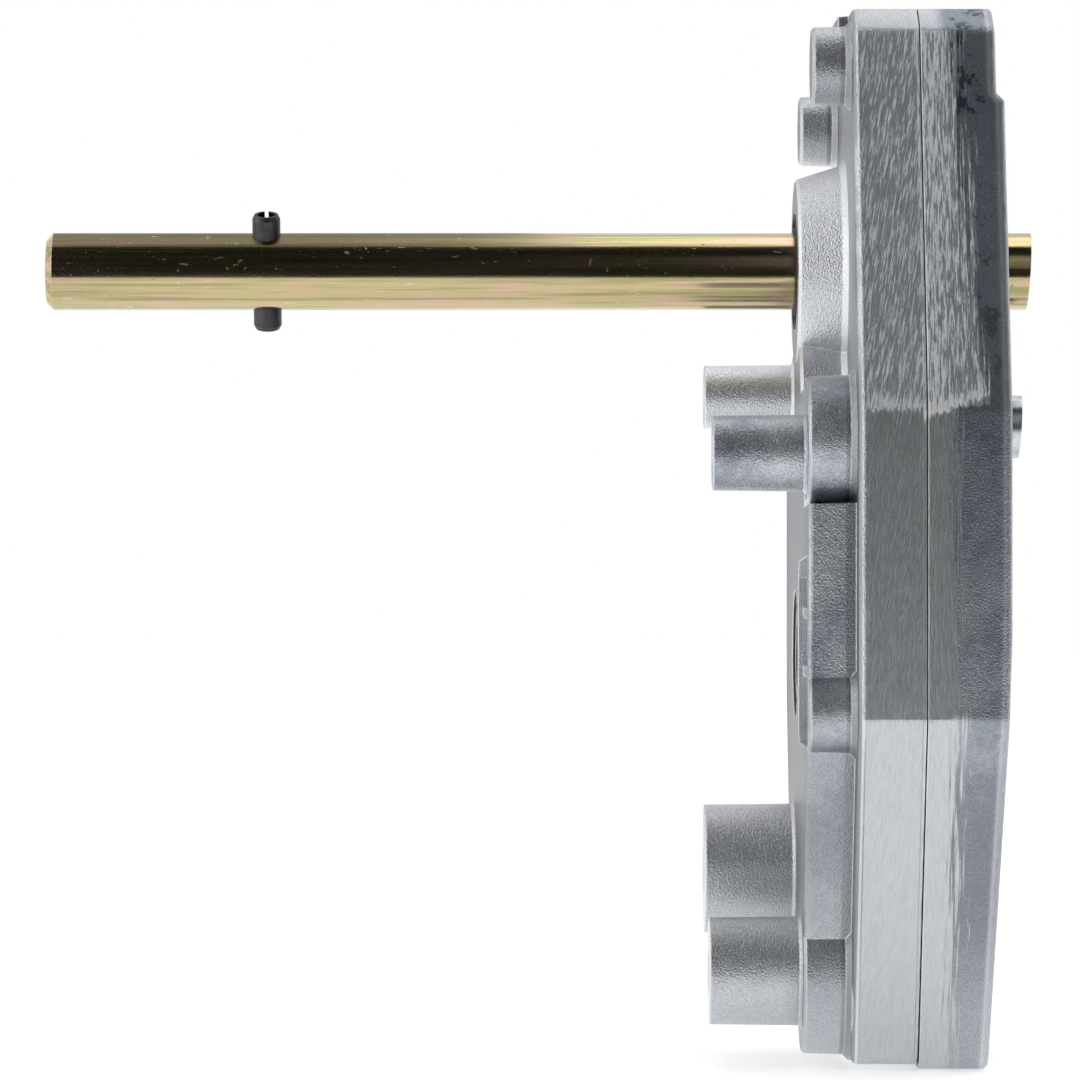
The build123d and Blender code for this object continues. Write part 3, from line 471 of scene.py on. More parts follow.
# %% [markdown]
# ## Where the belt ran
#
# A flat belt only reaches walls that face sideways, so the mask starts from the normal. It begins at the
# rim's back and ends a little past the joint. On the upper flat it reached further over the cover as it went
# down, and its end is ragged, because the cover's draft leans away from the belt.

# %% Belt mask
BELT_START_X = 41.5 * MM
BELT_START_FADE = 0.3 * MM
BELT_END_X = 66 * MM
BELT_END_BEFORE = 1 * MM
BELT_END_AFTER = 2 * MM
BELT_SPREAD = 7 * MM
BELT_RAGGED = 22 * MM
UPPER_FADE = 2 * MM
SIDE_LIMITS = (0.2, 0.35)
TOP_LIMITS = (0.45, 0.6)


def belt_mask(tree, place):
    """1 where the sanding belt has run."""
    facing = split(tree, true_normal(tree))
    sideways = without(tree, smooth_step(tree, math_node(tree, "ABSOLUTE", facing[0]), *SIDE_LIMITS))
    sideways = times(tree, sideways, without(tree, smooth_step(tree, facing[2], *TOP_LIMITS)))
    start = smooth_step(tree, place[0], BELT_START_X - BELT_START_FADE, BELT_START_X)
    upper = smooth_step(tree, place[2], UPPER_BREAK_Z, UPPER_BREAK_Z + UPPER_FADE)
    down = put(tree, "ShaderNodeMapRange", Value=place[2], From_Min=TOP_Z, From_Max=UPPER_BREAK_Z)
    spread = times(tree, times(tree, upper, down.outputs[0]), BELT_SPREAD)
    ragged = use_group(tree, streaks, Stretch=(1200.0, 40.0, 40.0), Wobble=0.2 * MM)
    reach = times(tree, minus(tree, ragged["Fine"], 0.5), BELT_RAGGED)
    beyond = minus(tree, plus(tree, place[0], reach), plus(tree, spread, BELT_END_X))
    stop = without(tree, smooth_step(tree, beyond, -BELT_END_BEFORE, BELT_END_AFTER))
    return times(tree, times(tree, sideways, start), stop)


print("belt from", BELT_START_X, "to", BELT_END_X)

# %% [markdown]
# ## The three flats
#
# The breaks are level on the body. On the cover they start a little lower and climb towards the front,
# because its draft cuts the flats at a slant. A fine jitter keeps the borders from being ruled. Just above
# the upper break the belt left a bright burr.

# %% Shares of the flats
BREAK_STRETCH = (1800.0, 300.0, 300.0)
BREAK_JITTER = 7 * MM
UPPER_CLIMB = 0.34
UPPER_DROP = 2.5 * MM
UPPER_BREAK_FADE = 0.6 * MM
LOWER_CLIMB = 0.22
LOWER_DROP = 1 * MM
LOWER_BREAK_FADE = 1 * MM
BURR_LOW = 1 * MM
BURR_HIGH = 5 * MM


def flat_shares(tree, place):
    """The shares of the upper flat, of the lower flat and of the burr at the upper one's foot."""
    ragged = use_group(tree, streaks, Stretch=BREAK_STRETCH, Wobble=0.4 * MM)
    jitter = times(tree, minus(tree, ragged["Fine"], 0.5), BREAK_JITTER)
    height = plus(tree, place[2], jitter)
    past_joint = most(tree, minus(tree, place[0], JOINT_X), 0.0)
    on_cover = cover_share(tree, place)
    climb = minus(tree, times(tree, past_joint, UPPER_CLIMB), times(tree, on_cover, UPPER_DROP))
    level = minus(tree, height, climb)
    upper = smooth_step(tree, level, UPPER_BREAK_Z - UPPER_BREAK_FADE, UPPER_BREAK_Z + UPPER_BREAK_FADE)
    burr = without(tree, smooth_step(tree, level, UPPER_BREAK_Z + BURR_LOW, UPPER_BREAK_Z + BURR_HIGH))
    climb = minus(tree, times(tree, past_joint, LOWER_CLIMB), times(tree, on_cover, LOWER_DROP))
    level = minus(tree, height, climb)
    fade_start = LOWER_BREAK_Z - LOWER_BREAK_FADE
    lower = without(tree, smooth_step(tree, level, fade_start, LOWER_BREAK_Z + LOWER_BREAK_FADE))
    return upper, lower, times(tree, burr, upper)


print("breaks climb", UPPER_CLIMB, "and", LOWER_CLIMB, "mm for each mm of cover")

# %% [markdown]
# ## Cast skin colours
#
# The skin isn't one grey. It is light deep between the bosses, a painted reflection of white surroundings,
# darker on the flat faces that look back towards -X, and darker at the casing's two ends, both painted shade.
# The cover's outer part is the darkest: its skin is darker, with painted shade that grows towards its top,
# and with stains of old release agent, which show mostly on its side. The colour is laid over in that order.

# %% Cast skin colour
CAST_DARK = (0.27, 0.29, 0.33, 1)
CAST_LIGHT = (0.48, 0.50, 0.54, 1)
CAST_DEEP_REFLECTION = (0.74, 0.755, 0.79, 1)
CAST_OUTER_AND_SHADE = (0.15, 0.175, 0.21, 1)
CAST_END_SHADE = (0.19, 0.20, 0.22, 1)
CAST_BACK_SHADE = (0.20, 0.21, 0.22, 1)
CAST_STAIN = (0.035, 0.045, 0.06, 1)
CAST_GRAIN = (0.9, 0.92, 0.95, 1)
NEAR_Y = -72 * MM
DEEP_Y = -35 * MM
LOW_END_Z = (-175 * MM, -110 * MM)
HIGH_END_Z = (25 * MM, 45 * MM)
OUTER_FADE = 4 * MM
OUTER_LOW_FADE = 20 * MM
STAIN_STRETCH = (150.0, 150.0, 110.0)
STAIN_THRESHOLD = 0.535
CLOUD_LIMITS = (0.35, 0.65)
MOTTLE_LIMITS = (0.5, 0.75)
BACK_LIMITS = (0.9, 0.97)
SIDE_STAIN_LIMITS = (-0.7, -0.4)
GRAIN_LIMITS = (0.35, 0.65)
DEEP_REFLECTION_SHARE = 0.85
DEEP_CLEAR = 0.6
BACK_SHADE_SHARE = 0.8
OUTER_LOW_SHARE = 0.25
OUTER_SHADE_GAIN = 0.55
FRONT_STAIN_SHARE = 0.2
SIDE_STAIN_GAIN = 0.7
GRAIN_SHARE = 0.35


def cast_colour(tree, place, skin, normal):
    """The colour of the die skin, with painted reflection and shade, and the cover's stains in it."""
    colour = blend_colours(tree, smooth_step(tree, skin["Clouds"], *CLOUD_LIMITS), CAST_DARK, CAST_LIGHT)
    colour = blend_colours(tree, smooth_step(tree, skin["Mottle"], *MOTTLE_LIMITS), colour, CAST_LIGHT)

    # Painted reflection: deep between the bosses the skin is lightened, as if it mirrored white surroundings.
    off_middle = math_node(tree, "ABSOLUTE", place[1])
    deep_reflection = smooth_step(tree, times(tree, off_middle, -1.0), NEAR_Y, DEEP_Y)
    colour = blend_colours(tree, times(tree, deep_reflection, DEEP_REFLECTION_SHARE), colour, CAST_DEEP_REFLECTION)
    # Painted shade: the casing is darker towards its top and bottom ends, except deep between the bosses.
    ends = most(tree, without(tree, smooth_step(tree, place[2], *LOW_END_Z)),
                smooth_step(tree, place[2], *HIGH_END_Z))
    ends = times(tree, ends, without(tree, times(tree, deep_reflection, DEEP_CLEAR)))
    colour = blend_colours(tree, ends, colour, CAST_END_SHADE)
    # Painted shade: flat faces that look back towards -X are darker.
    backwards = times(tree, split(tree, normal)[0], -1.0)
    back_shade = times(tree, smooth_step(tree, backwards, *BACK_LIMITS), BACK_SHADE_SHARE)
    colour = blend_colours(tree, back_shade, colour, CAST_BACK_SHADE)

    # The cover's outer part has a darker skin, with painted shade added that grows towards its top.
    outer = smooth_step(tree, place[0], COVER_OUTER_X - OUTER_FADE, COVER_OUTER_X)
    high = smooth_step(tree, place[2], LOWER_BREAK_Z - OUTER_LOW_FADE, UPPER_BREAK_Z)
    outer_tone_and_shade = times(tree, outer, plus(tree, times(tree, high, OUTER_SHADE_GAIN), OUTER_LOW_SHARE))
    colour = blend_colours(tree, outer_tone_and_shade, colour, CAST_OUTER_AND_SHADE)
    stain = use_group(tree, blotches, Stretch=STAIN_STRETCH, Threshold=STAIN_THRESHOLD, Softness=0.05)
    upwards = smooth_step(tree, place[2], LOWER_BREAK_Z, TOP_Z)
    stained = times(tree, stain["Mask"], times(tree, upwards, outer))
    off_front = smooth_step(tree, backwards, *SIDE_STAIN_LIMITS)
    stained = times(tree, stained, plus(tree, times(tree, off_front, SIDE_STAIN_GAIN), FRONT_STAIN_SHARE))
    colour = blend_colours(tree, stained, colour, CAST_STAIN)

    grain = times(tree, smooth_step(tree, skin["Grain"], *GRAIN_LIMITS), GRAIN_SHARE)
    return blend_colours(tree, grain, colour, CAST_GRAIN, "OVERLAY")


print("cast skin goes from", CAST_STAIN[:3], "to", CAST_DEEP_REFLECTION[:3])

# %% [markdown]
# ## The rim
#
# The two halves meet in a rim that is wider than the box behind it. Its shoulder has painted shade, except
# round the hub, and its back edge has a painted highlight. Both are narrow bands across X, laid over the
# skin.

# %% Rim colour
RIM_SHADE = (0.30, 0.31, 0.33, 1)
SHOULDER_START_X = 36.0 * MM
SHOULDER_FADE = 0.6 * MM
RIM_START_X = 40.1 * MM
RIM_END_X = 40.9 * MM
RIM_FADE = 0.3 * MM
RIM_CLEAR_Z = 32 * MM
RIM_CLEAR_FADE = 3 * MM
SHOULDER_SHARE = 0.75
RIM_HIGHLIGHT_SHARE = 0.5


def rim_colour(tree, place, cast):
    """The cast colour with painted shade on the rim's shoulder and a painted highlight on its back edge."""
    on_rim = smooth_step(tree, place[0], RIM_START_X, RIM_START_X + RIM_FADE)
    shoulder = smooth_step(tree, place[0], SHOULDER_START_X, SHOULDER_START_X + SHOULDER_FADE)
    shoulder = times(tree, shoulder, without(tree, on_rim))
    from_shaft = math_node(tree, "ABSOLUTE", place[2])
    off_hub = smooth_step(tree, from_shaft, RIM_CLEAR_Z, RIM_CLEAR_Z + RIM_CLEAR_FADE)
    shaded = times(tree, times(tree, shoulder, off_hub), SHOULDER_SHARE)
    cast = blend_colours(tree, shaded, cast, RIM_SHADE)
    # Painted highlight: a bright band along the rim's back edge.
    edge = times(tree, on_rim, without(tree, smooth_step(tree, place[0], RIM_END_X, RIM_END_X + RIM_FADE)))
    return blend_colours(tree, times(tree, edge, RIM_HIGHLIGHT_SHARE), cast, EDGE_WEAR_AND_HIGHLIGHT)


print("rim edge from", RIM_START_X, "to", RIM_END_X)

# %% [markdown]
# ## Sanded metal
#
# The belt lines are the streak group cut at a threshold, so that bright cuts stand on darker metal. Where the
# belt pressed harder, by the joint and at the burr, the threshold is lower and the cuts close up. On the
# upper flat the bright cuts are partly painted light, and the middle flat shows hardly any line. The lower
# flat is pale all over, a painted reflection of white ground, as it leans down.

# %% Sanded colour
BELT_DARK = (0.37, 0.41, 0.445, 1)
BELT_LIGHT = (0.97, 0.985, 1.0, 1)
BELT_MIDDLE = (0.40, 0.425, 0.435, 1)
BELT_LOWER_REFLECTION = (0.58, 0.60, 0.615, 1)
BELT_REFLECTION_LINE = (0.50, 0.52, 0.53, 1)
LINE_THRESHOLD = 0.48
LINE_SOFTNESS = 0.12
JOINT_GAIN = 0.06
BURR_GAIN = 0.12
BY_JOINT_START = 4 * MM
BY_JOINT_END = 12 * MM
BODY_STREAKS = 0.8
COVER_STREAKS_GAIN = 0.2
PLAIN_STREAKS = 0.15
PLAIN_GRAIN = 0.25
PLAIN_GRAIN_LIMITS = (0.42, 0.62)
REFLECTION_LINE_LIMITS = (0.4, 0.65)
LOWER_REFLECTION_SHARE = 0.9


def sanded_colour(tree, place, skin, belt, upper, lower, burr):
    """The colour of the sanded flats, with painted light on the upper one and a painted reflection on the
    lower one.
    """
    on_cover = cover_share(tree, place)
    past = smooth_step(tree, place[0], JOINT_X + BY_JOINT_START, JOINT_X + BY_JOINT_END)
    by_joint = times(tree, on_cover, without(tree, past))
    threshold = minus(tree, LINE_THRESHOLD, times(tree, by_joint, JOINT_GAIN))
    threshold = minus(tree, threshold, times(tree, burr, BURR_GAIN))
    lines = smooth_step(tree, minus(tree, belt["Fine"], threshold), 0.0, LINE_SOFTNESS)
    # The upper flat's bright cuts are partly belt lines and partly painted light, lighter than the middle
    # flat.
    strength = plus(tree, times(tree, on_cover, COVER_STREAKS_GAIN), BODY_STREAKS)
    streaked_and_lit = blend_colours(tree, times(tree, lines, strength), BELT_DARK, BELT_LIGHT)
    plain = blend_colours(tree, times(tree, lines, PLAIN_STREAKS), BELT_MIDDLE, BELT_LIGHT)
    grain = times(tree, smooth_step(tree, skin["Grain"], *PLAIN_GRAIN_LIMITS), PLAIN_GRAIN)
    plain = blend_colours(tree, grain, plain, BELT_DARK)
    sanded = blend_colours(tree, upper, plain, streaked_and_lit)
    # Painted reflection: the lower flat is pale all over with faint lines, as if it mirrored white ground.
    pale = blend_colours(tree, smooth_step(tree, belt["Fine"], *REFLECTION_LINE_LIMITS), BELT_LOWER_REFLECTION, BELT_REFLECTION_LINE)
    return blend_colours(tree, times(tree, lower, LOWER_REFLECTION_SHARE), sanded, pale)


print("belt lines cut at", LINE_THRESHOLD)

# %% [markdown]
# ## The posts' machining
#
# The tapped post group is placed once for each post. The strongest mask counts where two overlap, and their
# heights add up, as each is 0 away from its own post.

# %% Machined posts
MACHINED = (0.72, 0.73, 0.74, 1)


def machined_posts(tree):
    """The mask of all cut metal on the posts, and the height of its threads and rings."""
    machined, height = 0.0, 0.0
    for mount in threaded:
        radius = mount["dims"]["r_mm"]
        axis_place = (0.0, mount["pos_m"][1], mount["pos_m"][2])
        pitch = COARSE_PITCH[radius]
        post = use_group(tree, tapped_post, Centre=axis_place, Radius=radius * MM, Pitch=pitch)
        machined = most(tree, most(tree, post["Thread"], post["Faced"]), machined)
        height = plus(tree, post["Height"], height)
    return machined, height


print("posts", len(threaded))

# %% [markdown]
# ## The casing put together
#
# The skin lies below, the sanded metal over it where the belt ran, and worn edges and cut metal on top. Along
# its front the cover has a wide rounded edge, so the edge group gets a larger radius there, and the part of
# the round that turns towards the front gets a painted highlight. Grain and belt lines share one bump, each
# faded where the other is.

# %% Casting material
BELT_STRETCH = (2100.0, 170.0, 170.0)
BELT_LEAN = -0.17
EDGE_ROUND = 0.6 * MM
COVER_EDGE_ROUND = 2.0 * MM
FRONT_FADE = 2 * MM
HIGHLIGHT_LINE_START = (0.02, 0.05)
HIGHLIGHT_LINE_END = (0.09, 0.14)
CAST_BUMP = 0.23 * MM
WORN_SHARE = 0.85
MACHINED_SHARE = 0.85
SMOOTHED_SHARE = 0.85
BELT_HEIGHT = 0.9
CAST_ROUGHNESS = 0.30
MOTTLE_ROUGHNESS = 0.14
SANDED_ROUGHNESS = 0.04
UPPER_ROUGHNESS = 0.16
WORN_SHINE = 0.10
CUT_SHINE = 0.08


def make_casting():
    material, tree, shader = new_material("cast_aluminium")
    place = split(tree, object_place(tree))
    normal = true_normal(tree)
    skin = use_group(tree, cast_skin)
    lean = times(tree, without(tree, cover_share(tree, place)), BELT_LEAN)
    belt = use_group(tree, streaks, Stretch=BELT_STRETCH, Wobble=0.2 * MM, Lean=lean)
    front = smooth_step(tree, place[0], COVER_OUTER_X - FRONT_FADE, COVER_OUTER_X)
    radius = plus(tree, times(tree, front, COVER_EDGE_ROUND), EDGE_ROUND)
    edge = use_group(tree, edges, Radius=radius)
    mask = belt_mask(tree, place)
    upper, lower, burr = flat_shares(tree, place)
    machined, cut_height = machined_posts(tree)

    cast = rim_colour(tree, place, cast_colour(tree, place, skin, normal))
    sanded = sanded_colour(tree, place, skin, belt, upper, lower, burr)
    colour = blend_colours(tree, mask, cast, sanded)
    wear = times(tree, edge["Wear"], times(tree, without(tree, front), WORN_SHARE))
    colour = blend_colours(tree, wear, colour, EDGE_WEAR_AND_HIGHLIGHT)
    # Painted highlight: a bright line where the cover's front round starts to turn.
    turn = minus(tree, split(tree, edge["Normal"])[0], split(tree, normal)[0])
    highlight_line = times(tree, smooth_step(tree, turn, *HIGHLIGHT_LINE_START),
                      without(tree, smooth_step(tree, turn, *HIGHLIGHT_LINE_END)))
    colour = blend_colours(tree, times(tree, highlight_line, front), colour, EDGE_WEAR_AND_HIGHLIGHT)
    colour = blend_colours(tree, times(tree, machined, MACHINED_SHARE), colour, MACHINED)

    rough = plus(tree, times(tree, skin["Mottle"], MOTTLE_ROUGHNESS), CAST_ROUGHNESS)
    rough = plus(tree, rough, times(tree, mask, SANDED_ROUGHNESS))
    rough = plus(tree, rough, times(tree, times(tree, mask, upper), UPPER_ROUGHNESS))
    rough = minus(tree, rough, times(tree, wear, WORN_SHINE))
    rough = minus(tree, rough, times(tree, machined, CUT_SHINE))

    smoothed = most(tree, times(tree, mask, SMOOTHED_SHARE), machined)
    cast_height = times(tree, skin["Height"], without(tree, smoothed))
    belt_height = times(tree, belt["Height"], times(tree, mask, BELT_HEIGHT))
    height = plus(tree, plus(tree, cast_height, belt_height), cut_height)
    fill_shader(tree, shader, colour, rough, height, edge["Normal"], strength=1.0, depth=CAST_BUMP)
    return material


casting = make_casting()
print("casting nodes", len(casting.node_tree.nodes))

# %% [markdown]
# ## Finish: yellow zinc on the crank shaft
#
# The shaft is drawn steel with a yellow chromate over zinc. The film is a thin, uneven gold with green and
# pink in it, with dark specks and pale rubs, and its sawn ends are plain gold. Worn edges only count near
# the ends. A metal's colour is all reflection, so the base colour stays gold and the dark band in the
# photograph comes from the dark studio that the shaft mirrors.

# %% Yellow zinc material
ZINC_GOLD = (0.52, 0.44, 0.24, 1)
ZINC_PINK = (0.60, 0.42, 0.31, 1)
ZINC_OLIVE = (0.28, 0.30, 0.11, 1)
ZINC_BARE = (0.80, 0.79, 0.75, 1)
ZINC_PIT = (0.05, 0.045, 0.03, 1)
ZINC_BUMP = 0.03 * MM
ZINC_ROUGHNESS = 0.10
DRAWN_ROUGHNESS = 0.12
RUB_ROUGHNESS = 0.25
SPECK_HEIGHT = 6.0
FILM_SCALE = 60.0
OLIVE_SHARE = 0.85
PINK_SHARE = 0.5
SAWN_SHARE = 0.9
RUB_SHARE = 0.75
SPECK_SHARE = 0.8
END_WEAR_SHARE = 0.6
DRAWN_STRETCH = (25.0, 1400.0, 1400.0)
RUB_STRETCH = (160.0, 700.0, 700.0)
SPECK_STRETCH = (500.0, 500.0, 500.0)
END_WEAR_START = 4 * MM
END_WEAR_FULL = 3 * MM
SHAFT_LEFT_X = min(corner[0] for corner in nodes["input_shaft"].bound_box)
SHAFT_RIGHT_X = max(corner[0] for corner in nodes["input_shaft"].bound_box)
SHAFT_MIDDLE_X = (SHAFT_LEFT_X + SHAFT_RIGHT_X) / 2
SHAFT_HALF = (SHAFT_RIGHT_X - SHAFT_LEFT_X) / 2


def make_yellow_zinc():
    material, tree, shader = new_material("yellow_zinc_steel")
    place = object_place(tree)
    drawn = use_group(tree, streaks, Stretch=DRAWN_STRETCH, Wobble=0.2 * MM)
    film = noise(tree, place, FILM_SCALE, detail=6.0)
    specks = use_group(tree, blotches, Stretch=SPECK_STRETCH, Threshold=0.655, Softness=0.04)["Mask"]
    rubs = use_group(tree, blotches, Stretch=RUB_STRETCH, Threshold=0.625, Softness=0.05)["Mask"]
    edge = use_group(tree, edges, Radius=0.4 * MM, Spread=0.2)
    sawn = smooth_step(tree, math_node(tree, "ABSOLUTE", split(tree, true_normal(tree))[0]), 0.8, 0.95)
    from_middle = math_node(tree, "ABSOLUTE", minus(tree, split(tree, place)[0], SHAFT_MIDDLE_X))
    ends = smooth_step(tree, from_middle, SHAFT_HALF - END_WEAR_START, SHAFT_HALF - END_WEAR_FULL)

    olive = times(tree, smooth_step(tree, drawn["Broad"], 0.45, 0.62), OLIVE_SHARE)
    pink = times(tree, smooth_step(tree, drawn["Fine"], 0.52, 0.66), PINK_SHARE)
    worn = times(tree, times(tree, edge["Wear"], ends), END_WEAR_SHARE)
    colour = blend_colours(tree, smooth_step(tree, film, 0.4, 0.65), ZINC_GOLD, ZINC_PINK)
    colour = blend_colours(tree, olive, colour, ZINC_OLIVE)
    colour = blend_colours(tree, pink, colour, ZINC_PINK)
    colour = blend_colours(tree, times(tree, sawn, SAWN_SHARE), colour, ZINC_GOLD)
    colour = blend_colours(tree, times(tree, rubs, RUB_SHARE), colour, ZINC_BARE)
    colour = blend_colours(tree, times(tree, specks, SPECK_SHARE), colour, ZINC_PIT)
    colour = blend_colours(tree, worn, colour, ZINC_BARE)

    rough = plus(tree, ZINC_ROUGHNESS, times(tree, drawn["Fine"], DRAWN_ROUGHNESS))
    rough = plus(tree, rough, times(tree, most(tree, sawn, rubs), RUB_ROUGHNESS))
    height = plus(tree, drawn["Height"], times(tree, specks, SPECK_HEIGHT))
    fill_shader(tree, shader, colour, rough, height, edge["Normal"], strength=0.3, depth=ZINC_BUMP)
    return material


yellow_zinc = make_yellow_zinc()
print("yellow zinc nodes", len(yellow_zinc.node_tree.nodes), "shaft length", SHAFT_HALF * 2)

# %% [markdown]
# ## Finish: the other metals
#
# Clear zinc, gear steel, bronze, spring steel, screw steel and washer steel differ in colour, shine and
# grain, but they are all a metal with fine lines or grain, dirt in patches and pale edges. One function takes
# those differences, so each metal is one row of a table: its dark and light colour, its roughness, and how
# its lines are stretched.

# %% Other metals
METAL_BUMP = 0.03 * MM
GRIME = (0.03, 0.03, 0.03, 1)
GRIME_STRETCH = (150.0, 150.0, 150.0)
GRIME_SHARE = 0.3
METAL_WEAR = 0.6
LINE_ROUGHNESS = 0.15
METALS = {
    "clear_zinc_steel": ((0.42, 0.46, 0.48, 1), (0.66, 0.70, 0.72, 1), 0.22, (600.0, 600.0, 40.0)),
    "black_spring_steel": ((0.05, 0.05, 0.053, 1), (0.10, 0.10, 0.105, 1), 0.38, (500.0, 500.0, 60.0)),
    "gear_steel": ((0.34, 0.34, 0.35, 1), (0.52, 0.52, 0.53, 1), 0.28, (40.0, 700.0, 700.0)),
    "sintered_bronze": ((0.42, 0.27, 0.13, 1), (0.60, 0.42, 0.22, 1), 0.42, (900.0, 900.0, 900.0)),
    "black_screw_steel": ((0.035, 0.035, 0.038, 1), (0.08, 0.08, 0.085, 1), 0.4, (700.0, 700.0, 700.0)),
    "washer_steel": ((0.48, 0.48, 0.49, 1), (0.62, 0.62, 0.63, 1), 0.3, (700.0, 700.0, 700.0)),
}


def make_metal(name, dark, light, roughness, stretch):
    material, tree, shader = new_material(name)
    lines = use_group(tree, streaks, Stretch=stretch, Wobble=0.3 * MM)
    dirt = use_group(tree, blotches, Stretch=GRIME_STRETCH, Threshold=0.56, Softness=0.12)["Mask"]
    edge = use_group(tree, edges, Radius=0.3 * MM, Spread=0.2)
    pale = tuple(min(1.0, 1.25 * channel + 0.08) for channel in light[:3]) + (1,)
    colour = blend_colours(tree, smooth_step(tree, lines["Broad"], 0.3, 0.7), dark, light)
    colour = blend_colours(tree, times(tree, dirt, GRIME_SHARE), colour, GRIME)
    colour = blend_colours(tree, times(tree, edge["Wear"], METAL_WEAR), colour, pale)
    rough = plus(tree, roughness, times(tree, lines["Fine"], LINE_ROUGHNESS))
    fill_shader(tree, shader, colour, rough, lines["Height"], edge["Normal"], strength=0.3, depth=METAL_BUMP)
    return material


metals = {name: make_metal(name, *look) for name, look in METALS.items()}
print("metals", sorted(metals))

# %% [markdown]
# ## Finish: rubber and sealant
#
# The dust disc at the hub and the lip seals are brown nitrile rubber: dull, with a faint mould grain and dust
# in the pores. The thin layer between the two halves is a dark sealant. Neither is a metal, so they have a
# base colour of their own and only a weak gloss. The grain is the cast skin's group again, with finer grain
# and smaller clouds.

# %% Soft materials
SOFT_BUMP = 0.08 * MM
SOFT_CLOUD_SCALE = 120.0
SOFT_WEAR = 0.5
PORE_ROUGHNESS = 0.2
SOFTS = {
    "brown_rubber": ((0.030, 0.018, 0.012, 1), (0.060, 0.036, 0.024, 1), 0.5, 2500.0),
    "gasket_sheet": ((0.02, 0.02, 0.022, 1), (0.05, 0.05, 0.052, 1), 0.7, 3000.0),
}


def make_soft(name, dark, light, roughness, grain_scale):
    material, tree, shader = new_material(name)
    skin = use_group(tree, cast_skin, Grain_Scale=grain_scale, Cloud_Scale=SOFT_CLOUD_SCALE)
    edge = use_group(tree, edges, Radius=0.3 * MM, Spread=0.3)
    pale = tuple(1.6 * channel for channel in light[:3]) + (1,)
    colour = blend_colours(tree, skin["Clouds"], dark, light)
    colour = blend_colours(tree, times(tree, edge["Wear"], SOFT_WEAR), colour, pale)
    rough = plus(tree, roughness, times(tree, skin["Mottle"], PORE_ROUGHNESS))
    fill_shader(tree, shader, colour, rough, skin["Height"], edge["Normal"],
                strength=0.4, depth=SOFT_BUMP, metallic=0.0)
    return material


softs = {name: make_soft(name, *look) for name, look in SOFTS.items()}
print("soft materials", sorted(softs))

# %% [markdown]
# ## Dress the CAD pieces
#
# Every CAD node names the finish it has on the real part. The meshes stay where they are: only their material
# slots are filled.

# %% Assign the finishes
finishes = {"cast_aluminium": casting, "yellow_zinc_steel": yellow_zinc, **metals, **softs}
slot_of = {part["node"]: part["material_slot"] for part in frame["record"]["subparts"]}
for name, piece in nodes.items():
    piece.data.materials.clear()
    piece.data.materials.append(finishes[slot_of[name]])
print("dressed", len(nodes), "nodes in", len(set(slot_of.values())), "finishes")

# %% [markdown]
# ## The studio's white
#
# The photograph has a pure white ground and soft light. The white comes from what the camera and the metal
# see of the world and the floor, not from strong lamps, which would burn out the aluminium. For all other
# rays both are dimmer, so that the part keeps its shading and a faint shadow under it.

# %% World and floor
WORLD_GLOW = 0.6
FLOOR_GLOW = 0.5
FLOOR_SHADE = 0.9
FLOOR_DROP = 0.5 * MM
FLOOR_REACH = 6.0


def seen_share(tree):
    """1 for the rays that show the studio itself, in view, in a reflection or through glass."""
    ray = put(tree, "ShaderNodeLightPath").outputs
    seen = most(tree, ray["Is Camera Ray"], ray["Is Glossy Ray"])
    return most(tree, seen, ray["Is Transmission Ray"])


def make_world():
    world = bpy.data.worlds.new("studio")
    world.use_nodes = True
    tree = world.node_tree
    background = tree.nodes["Background"]
    strength = put(tree, "ShaderNodeMapRange", Value=seen_share(tree), To_Min=WORLD_GLOW, To_Max=1.0)
    background.inputs["Color"].default_value = grey(1.0)
    tree.links.new(strength.outputs[0], background.inputs["Strength"])
    return world


def make_floor_material():
    material, tree, shader = new_material("studio_floor")
    shader.inputs["Base Color"].default_value = grey(FLOOR_SHADE)
    shader.inputs["Roughness"].default_value = 0.9
    shader.inputs["Specular IOR Level"].default_value = 0.0
    shader.inputs["Emission Color"].default_value = grey(1.0)
    tree.links.new(times(tree, seen_share(tree), FLOOR_GLOW), shader.inputs["Emission Strength"])
    return material


def make_sheet(name, corners, faces, material):
    """A thin sheet of the studio."""
    mesh = bpy.data.meshes.new(name)
    mesh.from_pydata(corners, [], faces)
    mesh.materials.append(material)
    sheet = bpy.data.objects.new(name, mesh)
    bpy.context.scene.collection.objects.link(sheet)
    return sheet


bpy.context.scene.world = make_world()
floor_z = cad_low[2] - FLOOR_DROP
floor_corners = [(FLOOR_REACH * x, FLOOR_REACH * y, floor_z) for x, y in ((-1, -1), (1, -1), (1, 1), (-1, 1))]
floor = make_sheet("studio_floor_sheet", floor_corners, [(0, 1, 2, 3)], make_floor_material())
print("floor at", round(floor_z, 4))

# %% [markdown]
# ## Card and tent
#
# Metal shows what surrounds it. A dark card before the part gives the shaft its dark band and the flats their
# grey, and a lighter patch on it lightens the casing. A grey tent above and behind the bare shaft keeps the
# shaft's top from mirroring white. Lamps alone couldn't do this, because a polished cylinder shows only
# their small images. Both sheets are only seen in reflections.

# %% Card and tent
CARD_LOW_SHADE = 0.030
CARD_HIGH_SHADE = 0.012
CARD_SHADE_Z = (0.0, 0.6)
CARD_PROFILE = [(-0.60, 0.0), (-0.85, 0.35), (-1.00, 0.90), (-0.75, 1.45), (-0.27, 1.62)]
CARD_LEFT_X = -0.48
CARD_RIGHT_X = 1.15
CARD_WING_Y = 0.25
PATCH_SHADE = 0.40
PATCH_X = (0.03, 0.16)
PATCH_LOW_Z = (0.05, 0.25)
PATCH_HIGH_Z = (0.75, 1.05)
TENT_PROFILE = [(-0.27, 1.62), (0.60, 1.60), (1.40, 1.10), (1.60, 0.0)]
TENT_RIGHT_X = -0.05
TENT_SHADE = 0.36


